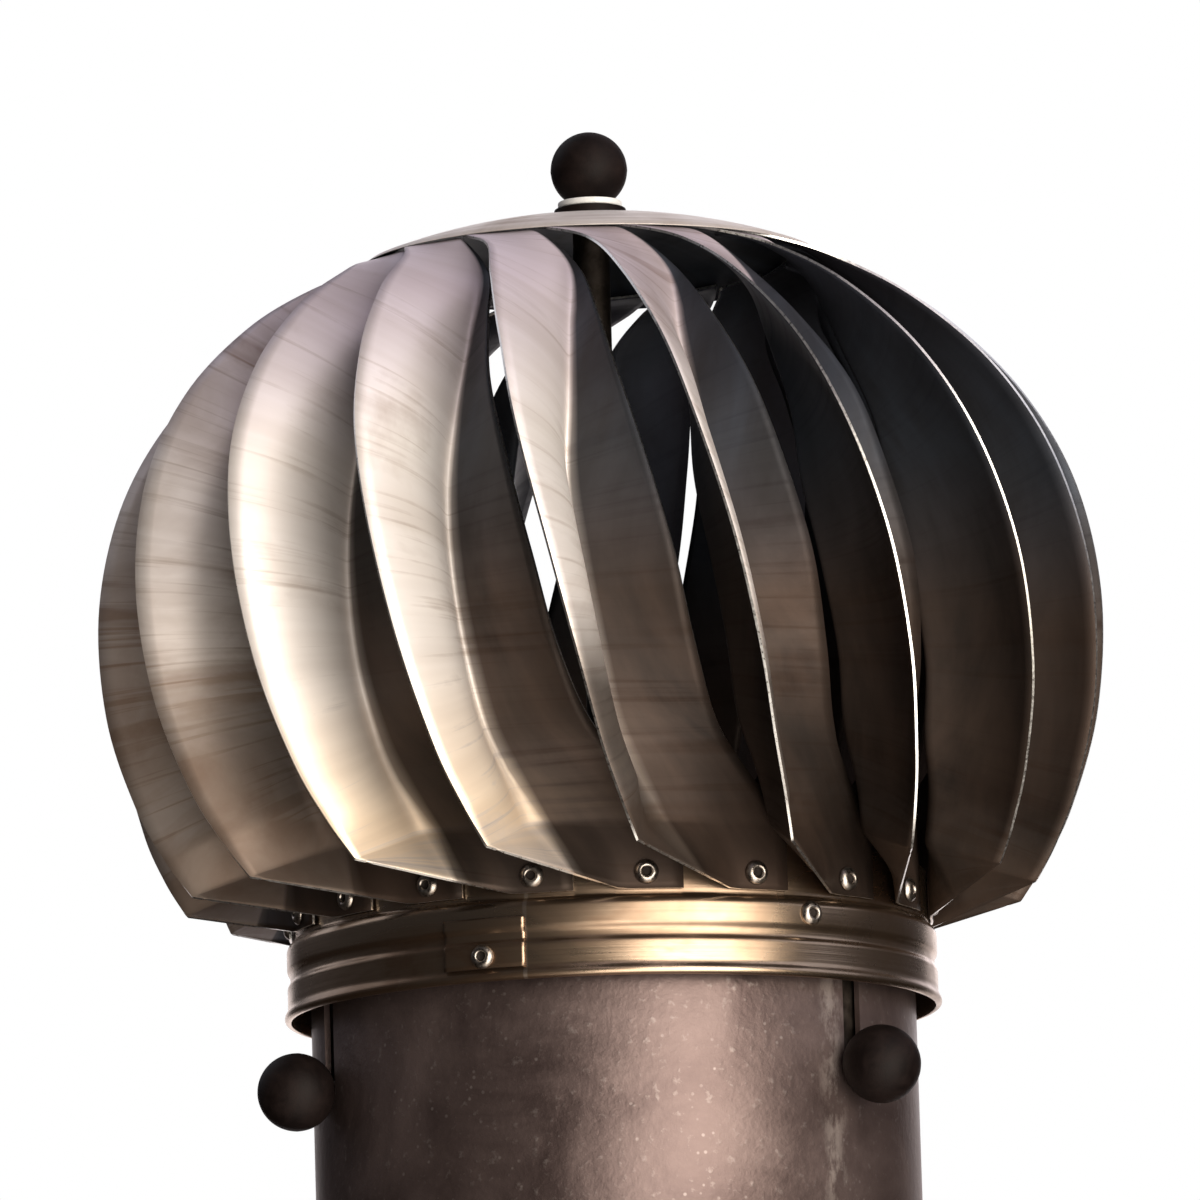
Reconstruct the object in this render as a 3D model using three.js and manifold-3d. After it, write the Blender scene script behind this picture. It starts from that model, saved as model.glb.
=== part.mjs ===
// Rotating chimney cowl: a ball of creased sheet vanes that spins on a fixed flue sleeve.
// Millimetres, +Z up, origin on the axis at the sleeve's cut lower rim.
// Turns are degrees about +Z, counted from -Y towards +X.
import * as THREE from 'three';
import { mergeVertices } from 'three/addons/utils/BufferGeometryUtils.js';
import Module from 'manifold-3d';

const wasm = await Module();
wasm.setup();

// Clearances
const TOUCH_GAP = 0.3;
const RUNNING_GAP = 0.5;
const CUT_OVERRUN = 5;

// Fixed flue sleeve
const SLEEVE_RADIUS = 100;
const SLEEVE_WALL = 2;
const SLEEVE_SHOWN = 78;
const SLEEVE_INSIDE_COLLAR = 30;
const SLEEVE_SIDES = 36;

// Clamp screws and their ball knobs, which pass through open slots in the sleeve
const KNOB_COUNT = 3;
const KNOB_FIRST_TURN_DEG = -69.3;
const KNOB_DROP = 27;
const KNOB_BALL_RADIUS = 12.8;
const KNOB_FLAT_RADIUS = 6;
const KNOB_STANDOFF = 0.4;
const SCREW_RADIUS = 4;
const SCREW_TIP_DEPTH = 10;
const KNOB_SIDES = 14;
const KNOB_RINGS = 8;

// Spider inside the sleeve that carries the spindle
const LEG_WIDTH = 20;
const LEG_THICKNESS = 3;
const LEG_BELOW_SCREW = 9;
const ARM_THICKNESS = 4;
const ARM_BELOW_SLEEVE_TOP = 8;
const HUB_WALL = 4;
const HUB_ABOVE_ARMS = 52;
const HUB_FLOOR = 4;
const HUB_SIDES = 16;
const BORE_SIDES = 12;

// Spindle, cap and finial
const SPINDLE_RADIUS = 6;
const CAP_RADIUS = 78;
const CAP_RISE = 15;
const CAP_SHEET = 1;
const CAP_RINGS = 4;
const CAP_CONTACT_ANGLE_DEG = 58;
const DISC_RADIUS = 12;
const DISC_THICKNESS = 3.9;
const WASHER_RADIUS = 10.7;
const WASHER_THICKNESS = 2.2;
const FINIAL_BALL_RADIUS = 12.8;
const FINIAL_FLAT_RADIUS = 7.3;
const SPINDLE_SIDES = 20;

// Rotating collar: a neck above a stepped band with a rolled lip
const COLLAR_CLEARANCE = 4;
const COLLAR_SHEET = 1;
const NECK_TOP = 44;
const BAND_HEIGHT = 26.4;
const BAND_STEP = 2.6;
const BEAD_DEPTH = 1;
const BEAD_LOW = 11.6;
const BEAD_HIGH = 17;
const BEAD_SLOPE = 1.4;
const LIP_PROUD = 1.1;
const LIP_HEIGHT = 2.7;
const LIP_ROUND_LOW = 0.8;
const LIP_ROUND_HIGH = 2.2;
const SHOULDER_OUT = 1.6;
const SHOULDER_DROP = 0.8;
const COLLAR_SIDES = 36;

// Lap strip where the band's two ends meet
const LAP_TURN_DEG = -22.5;
const LAP_WIDTH = 15;
const LAP_SHEET = 0.8;
const LAP_GAP = 0.45;
const LAP_TOP = 20.5;
const LAP_STEPS = 4;

// Vanes
const VANE_COUNT = 18;
const VANE_SHEET = 0.8;
const VANE_FIRST_TURN_DEG = -4.9;
const BALL_RADIUS = 167.5;
const BALL_LEVEL = 124;
const CROWN_HEIGHT = 140;
const CROWN_FULLNESS = 2.18;
const SKIRT_HEIGHT = 159;
const FOOT_EDGE_ANGLE_DEG = -31;
const FOOT_EDGE_TURN_DEG = 9;
const FOOT_FOLD_RISE = 5.5;
const FOOT_CREASE_PROUD = 7;
const FOOT_CREASE_TURN_DEG = 11.6;
const FOOT_BELLY = 1;
const FOOT_EDGE_SHARES = [0.08, 0.3, 0.62];
const TAB_LEFT_TURN_DEG = 27;
const TAB_RIGHT_TURN_DEG = 38;
const TAB_PROUD = 1.2;
const TAB_LIFT = 1.6;
const VANE_ROWS = 10;
const CREASE_DEPTH = 47;
const LIP_RISE = 15.5;
const FLANGE_BELLY = 0.13;

// Small differences in how the vanes of each half turn were set by hand, in degrees of turn
const HAND_SET = [-0.4, 0.5, -0.4, 0.3, 0.4, 0, 0.2, 0.5, -0.2];

// Rivets
const RIVET_RADIUS = 4;
const RIVET_HEIGHT = 1.8;
const RIVET_TOP_RADIUS = 2.4;
const RIVET_SIDES = 8;
const VANE_RIVET_TURN_DEG = 31.3;
const VANE_RIVET_LIFT = 7;
const LAP_RIVET_HEIGHT = 8;
const BAND_RIVET_TURN_DEG = 37;
const BAND_RIVET_DROP = 5.5;

// How a vane is bent, from just above its foot to under the cap. At each angle above the ball's
// level: the turn of the outer edge, how deep the crease lies as a share of CREASE_DEPTH and how far
// it is turned from the edge, and how far the inner lip rises again as a share of LIP_RISE and how
// far it is turned from the crease.
const BENDS = [
  { angle: -26, edgeTurn: 7, depth: 0.745, creaseTurn: 1, rise: -0.419, lipTurn: 20 },
  { angle: -19, edgeTurn: 4.7, depth: 0.862, creaseTurn: 0.3, rise: 0.032, lipTurn: 17.5 },
  { angle: -8, edgeTurn: 2, depth: 0.936, creaseTurn: 1, rise: 0.452, lipTurn: 15.5 },
  { angle: 5, edgeTurn: -1, depth: 1, creaseTurn: 2, rise: 0.839, lipTurn: 14.5 },
  { angle: 18, edgeTurn: -4.3, depth: 0.979, creaseTurn: 4, rise: 1, lipTurn: 12.5 },
  { angle: 30, edgeTurn: -7.2, depth: 0.809, creaseTurn: 7.5, rise: 1, lipTurn: 8.5 },
  { angle: 42, edgeTurn: -11, depth: 0.574, creaseTurn: 11.5, rise: 0.645, lipTurn: 5.5 },
  { angle: 52, edgeTurn: -16, depth: 0.245, creaseTurn: 16.5, rise: 0.065, lipTurn: 2 },
  { angle: 58, edgeTurn: -25.5, depth: 0.032, creaseTurn: 18, rise: -0.065, lipTurn: 0.8 },
  { angle: 63, edgeTurn: -34, depth: 0.032, creaseTurn: 17, rise: -0.065, lipTurn: 0.8 },
];

// Heights and radii that follow from the sizes above
const COLLAR_BASE = SLEEVE_SHOWN;
const SLEEVE_TOP = COLLAR_BASE + SLEEVE_INSIDE_COLLAR;
const NECK_RADIUS = SLEEVE_RADIUS + COLLAR_CLEARANCE + COLLAR_SHEET;
const BAND_RADIUS = NECK_RADIUS + BAND_STEP;
const BALL_CENTRE = COLLAR_BASE + BALL_LEVEL;
const KNOB_HEIGHT = COLLAR_BASE - KNOB_DROP;
const KNOB_FLAT_DEPTH = Math.sqrt(KNOB_BALL_RADIUS ** 2 - KNOB_FLAT_RADIUS ** 2);
const KNOB_CENTRE = SLEEVE_RADIUS + KNOB_STANDOFF + KNOB_FLAT_DEPTH;
const TAB_RADIUS = NECK_RADIUS + TAB_PROUD;
const TAB_BOTTOM = COLLAR_BASE + BAND_HEIGHT + TAB_LIFT;
const FOOT_FOLD = COLLAR_BASE + NECK_TOP + FOOT_FOLD_RISE;
const HUB_BORE = SPINDLE_RADIUS + RUNNING_GAP;
const HUB_RADIUS = HUB_BORE + HUB_WALL;
const HUB_BASE = SLEEVE_TOP - ARM_BELOW_SLEEVE_TOP - ARM_THICKNESS;
const CAP_SPHERE = (CAP_RADIUS ** 2 + CAP_RISE ** 2) / (2 * CAP_RISE);
const CAP_BORE = SPINDLE_RADIUS + TOUCH_GAP;

// Point at a radius, a turn and a height
function polar(radius, turn, height) {
  const t = THREE.MathUtils.degToRad(turn);
  return new THREE.Vector3(radius * Math.sin(t), -radius * Math.cos(t), height);
}

// Distance from the ball's centre to its envelope at an angle above its level
function envelope(angle) {
  const a = THREE.MathUtils.degToRad(angle);
  const height = angle > 0 ? CROWN_HEIGHT : SKIRT_HEIGHT;
  const power = angle > 0 ? CROWN_FULLNESS : 2;
  const across = (Math.cos(a) / BALL_RADIUS) ** power;
  const up = Math.abs(Math.sin(a) / height) ** power;
  return (across + up) ** (-1 / power);
}

// Radius, turn and height of a point in the ball, given its distance, angle and turn
function inBall(distance, angle, turn) {
  const a = THREE.MathUtils.degToRad(angle);
  return new THREE.Vector3(distance * Math.cos(a), turn, BALL_CENTRE + distance * Math.sin(a));
}

// Underside of the cap at a radius. It rests on the vanes at its rim, or further in where they end
// inside the rim.
function capUnderside(radius) {
  const contact = inBall(envelope(CAP_CONTACT_ANGLE_DEG), CAP_CONTACT_ANGLE_DEG, 0);
  const seat = contact.z + VANE_SHEET / 2 + TOUCH_GAP;
  const dome = (r) => Math.sqrt(CAP_SPHERE ** 2 - r ** 2);
  return seat + dome(radius) - dome(Math.min(CAP_RADIUS, contact.x));
}

// Thin sheet of even thickness around a grid of points on its middle surface
function sheetSolid(rows, thickness) {
  const rowCount = rows.length;
  const columnCount = rows[0].length;
  const quadNormal = (i, j) => {
    const across = new THREE.Vector3().subVectors(rows[i + 1][j + 1], rows[i][j]);
    const down = new THREE.Vector3().subVectors(rows[i + 1][j], rows[i][j + 1]);
    return across.cross(down).normalize();
  };
  const front = [];
  const back = [];
  for (let i = 0; i < rowCount; i += 1) {
    for (let j = 0; j < columnCount; j += 1) {
      const normals = [];
      for (const a of [i - 1, i]) {
        for (const b of [j - 1, j]) {
          const inside = a >= 0 && b >= 0 && a < rowCount - 1 && b < columnCount - 1;
          if (inside) normals.push(quadNormal(a, b));
        }
      }
      const mean = normals.reduce((sum, n) => sum.add(n), new THREE.Vector3()).normalize();
      const slant = Math.max(0.55, Math.min(...normals.map((n) => n.dot(mean))));
      const offset = mean.multiplyScalar(thickness / 2 / slant);
      front.push(rows[i][j].clone().add(offset));
      back.push(rows[i][j].clone().sub(offset));
    }
  }
  const points = [...front, ...back];
  const at = (i, j) => i * columnCount + j;
  const behind = (k) => k + front.length;
  const index = [];
  for (let i = 0; i < rowCount - 1; i += 1) {
    for (let j = 0; j < columnCount - 1; j += 1) {
      const a = at(i, j);
      const b = at(i, j + 1);
      const c = at(i + 1, j + 1);
      const d = at(i + 1, j);
      index.push(a, b, c, a, c, d);
      index.push(behind(a), behind(c), behind(b), behind(a), behind(d), behind(c));
    }
  }
  const border = [];
  for (let j = 0; j < columnCount; j += 1) border.push(at(0, j));
  for (let i = 1; i < rowCount; i += 1) border.push(at(i, columnCount - 1));
  for (let j = columnCount - 2; j >= 0; j -= 1) border.push(at(rowCount - 1, j));
  for (let i = rowCount - 2; i > 0; i -= 1) border.push(at(i, 0));
  border.forEach((a, k) => {
    const b = border[(k + 1) % border.length];
    index.push(b, a, behind(a), b, behind(a), behind(b));
  });
  const geometry = new THREE.BufferGeometry();
  const numbers = points.flatMap((p) => p.toArray());
  geometry.setAttribute('position', new THREE.Float32BufferAttribute(numbers, 3));
  geometry.setIndex(index);
  return geometry;
}

// Closed mesh turned into a solid for cutting and joining
function solidOf(geometry) {
  const bare = geometry.clone();
  bare.deleteAttribute('normal');
  bare.deleteAttribute('uv');
  const merged = mergeVertices(bare, 1e-4);
  return new wasm.Manifold(new wasm.Mesh({
    numProp: 3,
    vertProperties: new Float32Array(merged.attributes.position.array),
    triVerts: new Uint32Array(merged.index.array),
  }));
}

// Solid turned back into a mesh's geometry
function geometryOf(solid) {
  const mesh = solid.getMesh();
  const geometry = new THREE.BufferGeometry();
  const numbers = new Float32Array(mesh.vertProperties);
  geometry.setAttribute('position', new THREE.BufferAttribute(numbers, 3));
  geometry.setIndex(new THREE.BufferAttribute(new Uint32Array(mesh.triVerts), 1));
  return geometry;
}

// Profile of [radius, height] points turned about +Z; it ends on the axis or closes on itself
function lathe(profile, sides) {
  const geometry = new THREE.LatheGeometry(profile.map(([r, z]) => new THREE.Vector2(r, z)), sides);
  return geometry.rotateX(Math.PI / 2);
}

function ringProfile(inner, outer, low, high) {
  return [[inner, low], [outer, low], [outer, high], [inner, high], [inner, low]];
}

// Box whose long side runs outward at a turn, from one radius to another
function radialBox(fromRadius, toRadius, width, low, high, turn) {
  const geometry = new THREE.BoxGeometry(width, toRadius - fromRadius, high - low);
  geometry.translate(0, -(fromRadius + toRadius) / 2, (low + high) / 2);
  return geometry.rotateZ(THREE.MathUtils.degToRad(turn));
}

// Round bar that runs outward at a turn
function radialBar(radius, fromRadius, toRadius, height, turn, sides) {
  const geometry = new THREE.CylinderGeometry(radius, radius, toRadius - fromRadius, sides);
  geometry.translate(0, -(fromRadius + toRadius) / 2, 0);
  geometry.translate(0, 0, height);
  return geometry.rotateZ(THREE.MathUtils.degToRad(turn));
}

// Ball knob seen as a profile, with its flat at height 0
function knobProfile(ballRadius, flatRadius) {
  const start = Math.asin(flatRadius / ballRadius);
  const centre = ballRadius * Math.cos(start);
  const profile = [[0, 0]];
  for (let i = 0; i <= KNOB_RINGS; i += 1) {
    const a = start + (Math.PI - start) * (i / KNOB_RINGS);
    const r = i === KNOB_RINGS ? 0 : ballRadius * Math.sin(a);
    profile.push([r, centre - ballRadius * Math.cos(a)]);
  }
  return profile;
}

const knobTurns = [];
for (let k = 0; k < KNOB_COUNT; k += 1) knobTurns.push(KNOB_FIRST_TURN_DEG + (k * 360) / KNOB_COUNT);

// Sleeve with an open slot above each clamp screw
function sleeveGeometry() {
  const slotHalf = SCREW_RADIUS + TOUCH_GAP;
  const wall = ringProfile(SLEEVE_RADIUS - SLEEVE_WALL, SLEEVE_RADIUS, 0, SLEEVE_TOP);
  let solid = solidOf(lathe(wall, SLEEVE_SIDES));
  for (const turn of knobTurns) {
    const from = SLEEVE_RADIUS - SLEEVE_WALL - CUT_OVERRUN;
    const to = SLEEVE_RADIUS + CUT_OVERRUN;
    const box = radialBox(from, to, 2 * slotHalf, KNOB_HEIGHT, SLEEVE_TOP + CUT_OVERRUN, turn);
    const end = radialBar(slotHalf, from, to, KNOB_HEIGHT, turn, BORE_SIDES);
    solid = solid.subtract(solidOf(box).add(solidOf(end)));
  }
  return geometryOf(solid);
}

// Spider: hub cup, and an arm and a leg for each clamp screw
function spiderGeometry() {
  const legOuter = SLEEVE_RADIUS - SLEEVE_WALL - LEG_THICKNESS / 2;
  const legInner = legOuter - LEG_THICKNESS;
  const hubTop = HUB_BASE + ARM_THICKNESS + HUB_ABOVE_ARMS;
  const cup = [
    [0, HUB_BASE], [HUB_RADIUS, HUB_BASE], [HUB_RADIUS, hubTop],
    [HUB_BORE, hubTop], [HUB_BORE, HUB_BASE + HUB_FLOOR], [0, HUB_BASE + HUB_FLOOR],
  ];
  let solid = solidOf(lathe(cup, HUB_SIDES));
  const armTop = HUB_BASE + ARM_THICKNESS;
  for (const turn of knobTurns) {
    const armFrom = (HUB_BORE + HUB_RADIUS) / 2;
    const arm = solidOf(radialBox(armFrom, legOuter, LEG_WIDTH, HUB_BASE, armTop, turn));
    const legLow = KNOB_HEIGHT - LEG_BELOW_SCREW;
    const leg = solidOf(radialBox(legInner, legOuter, LEG_WIDTH, legLow, armTop, turn));
    solid = solid.add(arm).add(leg);
  }
  const bore = [
    [0, HUB_BASE + HUB_FLOOR], [HUB_BORE, HUB_BASE + HUB_FLOOR],
    [HUB_BORE, hubTop + CUT_OVERRUN], [0, hubTop + CUT_OVERRUN],
  ];
  solid = solid.subtract(solidOf(lathe(bore, HUB_SIDES)));
  const holeRadius = SCREW_RADIUS + TOUCH_GAP;
  for (const turn of knobTurns) {
    const from = legInner - CUT_OVERRUN;
    const to = legOuter + CUT_OVERRUN;
    const hole = radialBar(holeRadius, from, to, KNOB_HEIGHT, turn, BORE_SIDES);
    solid = solid.subtract(solidOf(hole));
  }
  return geometryOf(solid);
}

// Outer side of the band, from its lip up to the shoulder, pushed out by an amount
function bandSide(out) {
  return [
    [BAND_RADIUS + out, LIP_HEIGHT + BEAD_SLOPE],
    [BAND_RADIUS + out, BEAD_LOW],
    [BAND_RADIUS - BEAD_DEPTH + out, BEAD_LOW + BEAD_SLOPE],
    [BAND_RADIUS - BEAD_DEPTH + out, BEAD_HIGH - BEAD_SLOPE],
    [BAND_RADIUS + out, BEAD_HIGH],
    [BAND_RADIUS + out, BAND_HEIGHT - BAND_STEP],
  ];
}

// Collar: one sheet rolled into a lip, a beaded band, a shoulder and a neck
function collarGeometry() {
  const inner = bandSide(-COLLAR_SHEET).reverse();
  const profile = [
    [BAND_RADIUS, 0],
    [BAND_RADIUS + LIP_PROUD, LIP_ROUND_LOW],
    [BAND_RADIUS + LIP_PROUD, LIP_ROUND_HIGH],
    ...bandSide(0),
    [NECK_RADIUS + SHOULDER_OUT, BAND_HEIGHT - SHOULDER_DROP],
    [NECK_RADIUS, BAND_HEIGHT],
    [NECK_RADIUS, NECK_TOP],
    [NECK_RADIUS - COLLAR_SHEET, NECK_TOP],
    [NECK_RADIUS - COLLAR_SHEET, BAND_HEIGHT - COLLAR_SHEET],
    ...inner,
    [BAND_RADIUS - COLLAR_SHEET, 0],
    [BAND_RADIUS, 0],
  ];
  return lathe(profile.map(([r, z]) => [r, COLLAR_BASE + z]), COLLAR_SIDES);
}

// Lap strip that follows the band's side
function lapGeometry() {
  const out = LAP_GAP + LAP_SHEET / 2;
  const side = [...bandSide(out).slice(0, -1), [BAND_RADIUS + out, LAP_TOP]];
  const rows = [];
  for (let i = 0; i <= LAP_STEPS; i += 1) {
    const turn = LAP_TURN_DEG + LAP_WIDTH * (i / LAP_STEPS - 0.5);
    rows.push(side.map(([r, z]) => polar(r, turn, COLLAR_BASE + z)));
  }
  return sheetSolid(rows, LAP_SHEET);
}

// The three lines of a vane as smooth curves of [radius, turn, height], from the fold to the cap
function vaneLines() {
  const footDistance = envelope(FOOT_EDGE_ANGLE_DEG);
  const foldEdge = inBall(footDistance, FOOT_EDGE_ANGLE_DEG, FOOT_EDGE_TURN_DEG);
  const creaseRadius = NECK_RADIUS + FOOT_CREASE_PROUD;
  const foldCrease = new THREE.Vector3(creaseRadius, FOOT_CREASE_TURN_DEG, FOOT_FOLD);
  const foldLip = new THREE.Vector3(TAB_RADIUS, TAB_RIGHT_TURN_DEG, FOOT_FOLD);
  const edge = [foldEdge];
  const crease = [foldCrease];
  const lip = [foldLip];
  for (const bend of BENDS) {
    const tuck = bend.angle > CAP_CONTACT_ANGLE_DEG ? CAP_SHEET : 0;
    const outer = envelope(bend.angle) - tuck;
    const inner = outer - bend.depth * CREASE_DEPTH;
    const creaseTurn = bend.edgeTurn + bend.creaseTurn;
    const lipTurn = creaseTurn + bend.lipTurn;
    edge.push(inBall(outer, bend.angle, bend.edgeTurn));
    crease.push(inBall(inner, bend.angle, creaseTurn));
    lip.push(inBall(inner + bend.rise * LIP_RISE, bend.angle, lipTurn));
  }
  const smooth = (points) => new THREE.CatmullRomCurve3(points, false, 'catmullrom', 0.5);
  return [edge, crease, lip].map(smooth);
}

// Middle of the outer flange, bellied out sideways by a share of the crease's depth
function flangeMiddle(edge, crease) {
  const centre = new THREE.Vector3(0, 0, BALL_CENTRE);
  const depth = edge.distanceTo(centre) - crease.distanceTo(centre);
  const side = new THREE.Vector3().subVectors(crease, edge).cross(new THREE.Vector3(0, 0, 1));
  return edge.clone().lerp(crease, 0.5).addScaledVector(side.normalize(), FLANGE_BELLY * depth);
}

// Vane: creased strip, folded at its foot into a tab that lies on the collar's neck
function vaneGeometry() {
  const [edge, crease, lip] = vaneLines();
  const placed = (v) => polar(v.x, v.y, v.z);
  const between = (a, b, share) => a.clone().lerp(b, share);
  const rows = [];
  for (let i = VANE_ROWS; i >= 0; i -= 1) {
    const e = placed(edge.getPoint(i / VANE_ROWS));
    const c = placed(crease.getPoint(i / VANE_ROWS));
    const l = placed(lip.getPoint(i / VANE_ROWS));
    const middle = i > 0 ? flangeMiddle(e, c) : between(e, c, 0.5);
    rows.push([e, middle, c, between(c, l, 0.5), l]);
  }
  const fold = rows[rows.length - 1];
  const bellyTurn = (FOOT_CREASE_TURN_DEG + TAB_RIGHT_TURN_DEG) / 2;
  fold[3] = polar(TAB_RADIUS + FOOT_BELLY, bellyTurn, FOOT_FOLD);
  const tabLeft = polar(TAB_RADIUS, TAB_LEFT_TURN_DEG, TAB_BOTTOM);
  const tabRight = polar(TAB_RADIUS, TAB_RIGHT_TURN_DEG, TAB_BOTTOM);
  const freeEdge = FOOT_EDGE_SHARES.map((share) => between(fold[0], tabLeft, share));
  const lower = [...freeEdge, tabLeft, tabRight];
  const tabMiddle = (FOOT_FOLD + TAB_BOTTOM) / 2;
  const tab = fold.map((point, j) => between(point, lower[j], 0.5));
  tab[3] = polar(TAB_RADIUS, (TAB_LEFT_TURN_DEG + bellyTurn) / 2, tabMiddle);
  tab[4] = polar(TAB_RADIUS, TAB_RIGHT_TURN_DEG, tabMiddle);
  rows.push(tab, lower);
  return sheetSolid(rows, VANE_SHEET);
}

// Cap: shallow dome with a bore for the spindle
function capGeometry() {
  const under = [];
  for (let i = 0; i <= CAP_RINGS; i += 1) {
    const r = CAP_BORE + (CAP_RADIUS - CAP_BORE) * (i / CAP_RINGS);
    under.push([r, capUnderside(r)]);
  }
  const over = under.map(([r, z]) => [r, z + CAP_SHEET]).reverse();
  return lathe([...under, ...over, under[0]], COLLAR_SIDES);
}

// Rivet head whose base is at height 0 on the axis
function rivetGeometry() {
  const profile = [
    [0, 0], [RIVET_RADIUS, 0], [RIVET_TOP_RADIUS, RIVET_HEIGHT], [0, RIVET_HEIGHT],
  ];
  return lathe(profile, RIVET_SIDES);
}

function steel(color, roughness) {
  return new THREE.MeshStandardMaterial({ color, roughness, metalness: 0.9 });
}

const vaneSteel = steel(0xa69a92, 0.32);
const bandSteel = steel(0xa08562, 0.35);
const sleeveSteel = steel(0x5c4f4b, 0.6);
const hiddenSteel = steel(0x4a4644, 0.5);
const rivetSteel = steel(0xb8b2ac, 0.3);
const zinc = steel(0xe6e4e0, 0.35);
const knobPlastic = new THREE.MeshStandardMaterial({ color: 0x2b211e, roughness: 0.5 });

const cowl = new THREE.Group();
const stator = new THREE.Group();
const rotor = new THREE.Group();
cowl.add(stator, rotor);

function addPiece(group, name, geometry, material) {
  const mesh = new THREE.Mesh(geometry, material);
  mesh.name = name;
  group.add(mesh);
  return mesh;
}

const numbered = (word, k) => `${word}_${String(k + 1).padStart(2, '0')}`;

// Piece that stands on its base and is laid outward at a radius, a height and a turn
function addOutward(group, name, geometry, material, radius, height, turn) {
  const pivot = new THREE.Group();
  pivot.rotation.z = THREE.MathUtils.degToRad(turn);
  const mesh = addPiece(pivot, name, geometry, material);
  mesh.rotation.x = Math.PI / 2;
  mesh.position.set(0, -radius, height);
  group.add(pivot);
}

// Fixed pieces
addPiece(stator, 'flue_sleeve', sleeveGeometry(), sleeveSteel);
addPiece(stator, 'spindle_spider', spiderGeometry(), hiddenSteel);
const screwTip = SLEEVE_RADIUS - SCREW_TIP_DEPTH;
const screwLength = KNOB_CENTRE - KNOB_FLAT_DEPTH - TOUCH_GAP - screwTip;
const screwProfile = [
  [0, 0], [SCREW_RADIUS, 0], [SCREW_RADIUS, screwLength], [0, screwLength],
];
const clampBall = knobProfile(KNOB_BALL_RADIUS, KNOB_FLAT_RADIUS);
knobTurns.forEach((turn, k) => {
  const screw = lathe(screwProfile, BORE_SIDES);
  const knob = lathe(clampBall, KNOB_SIDES);
  const flat = KNOB_CENTRE - KNOB_FLAT_DEPTH;
  addOutward(stator, numbered('clamp_screw', k), screw, rivetSteel, screwTip, KNOB_HEIGHT, turn);
  addOutward(stator, numbered('clamp_knob', k), knob, knobPlastic, flat, KNOB_HEIGHT, turn);
});

// Turning pieces
addPiece(rotor, 'collar', collarGeometry(), bandSteel);
addPiece(rotor, 'collar_lap', lapGeometry(), bandSteel);
addPiece(rotor, 'top_cap', capGeometry(), vaneSteel);

const discBase = capUnderside(CAP_BORE) + CAP_SHEET + TOUCH_GAP;
const washerBase = discBase + DISC_THICKNESS + TOUCH_GAP;
const finialBase = washerBase + WASHER_THICKNESS + TOUCH_GAP;
const disc = ringProfile(CAP_BORE, DISC_RADIUS, discBase, discBase + DISC_THICKNESS);
const washer = ringProfile(CAP_BORE, WASHER_RADIUS, washerBase, washerBase + WASHER_THICKNESS);
const finial = knobProfile(FINIAL_BALL_RADIUS, FINIAL_FLAT_RADIUS).map(([r, z]) => [r, finialBase + z]);
addPiece(rotor, 'finial_disc', lathe(disc, SPINDLE_SIDES), knobPlastic);
addPiece(rotor, 'finial_washer', lathe(washer, SPINDLE_SIDES), zinc);
addPiece(rotor, 'finial_knob', lathe(finial, KNOB_SIDES), knobPlastic);
const spindleFoot = HUB_BASE + HUB_FLOOR + TOUCH_GAP;
const spindleTop = washerBase + WASHER_THICKNESS;
const spindle = [
  [0, spindleFoot], [SPINDLE_RADIUS, spindleFoot], [SPINDLE_RADIUS, spindleTop], [0, spindleTop],
];
addPiece(rotor, 'spindle', lathe(spindle, SPINDLE_SIDES), hiddenSteel);

const vane = vaneGeometry();
const rivet = rivetGeometry();
const pitch = 360 / VANE_COUNT;
const vaneRivetBase = TAB_RADIUS + VANE_SHEET / 2 + TOUCH_GAP;
const vaneRivetHeight = COLLAR_BASE + BAND_HEIGHT + VANE_RIVET_LIFT;
for (let k = 0; k < VANE_COUNT; k += 1) {
  const turn = VANE_FIRST_TURN_DEG + k * pitch;
  const set = HAND_SET[k % HAND_SET.length];
  const mesh = addPiece(rotor, numbered('vane', k), vane, vaneSteel);
  mesh.rotation.z = THREE.MathUtils.degToRad(turn + set);
  const name = numbered('vane_rivet', k);
  const rivetTurn = turn + VANE_RIVET_TURN_DEG;
  addOutward(rotor, name, rivet, rivetSteel, vaneRivetBase, vaneRivetHeight, rivetTurn);
}
const lapRivetBase = BAND_RADIUS + LAP_GAP + LAP_SHEET + TOUCH_GAP;
const lapRivetHeight = COLLAR_BASE + LAP_RIVET_HEIGHT;
addOutward(rotor, 'lap_rivet', rivet, rivetSteel, lapRivetBase, lapRivetHeight, LAP_TURN_DEG);
const bandRivetBase = BAND_RADIUS + TOUCH_GAP;
const bandRivetHeight = COLLAR_BASE + BAND_HEIGHT - BAND_RIVET_DROP;
addOutward(rotor, 'band_rivet', rivet, rivetSteel, bandRivetBase, bandRivetHeight, BAND_RIVET_TURN_DEG);

export default cowl;
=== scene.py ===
"""Looks of the rotating chimney cowl: detailed pieces, materials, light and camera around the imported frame."""

import math
import random

import bpy
import numpy as np
from mathutils import Matrix, Vector


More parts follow.
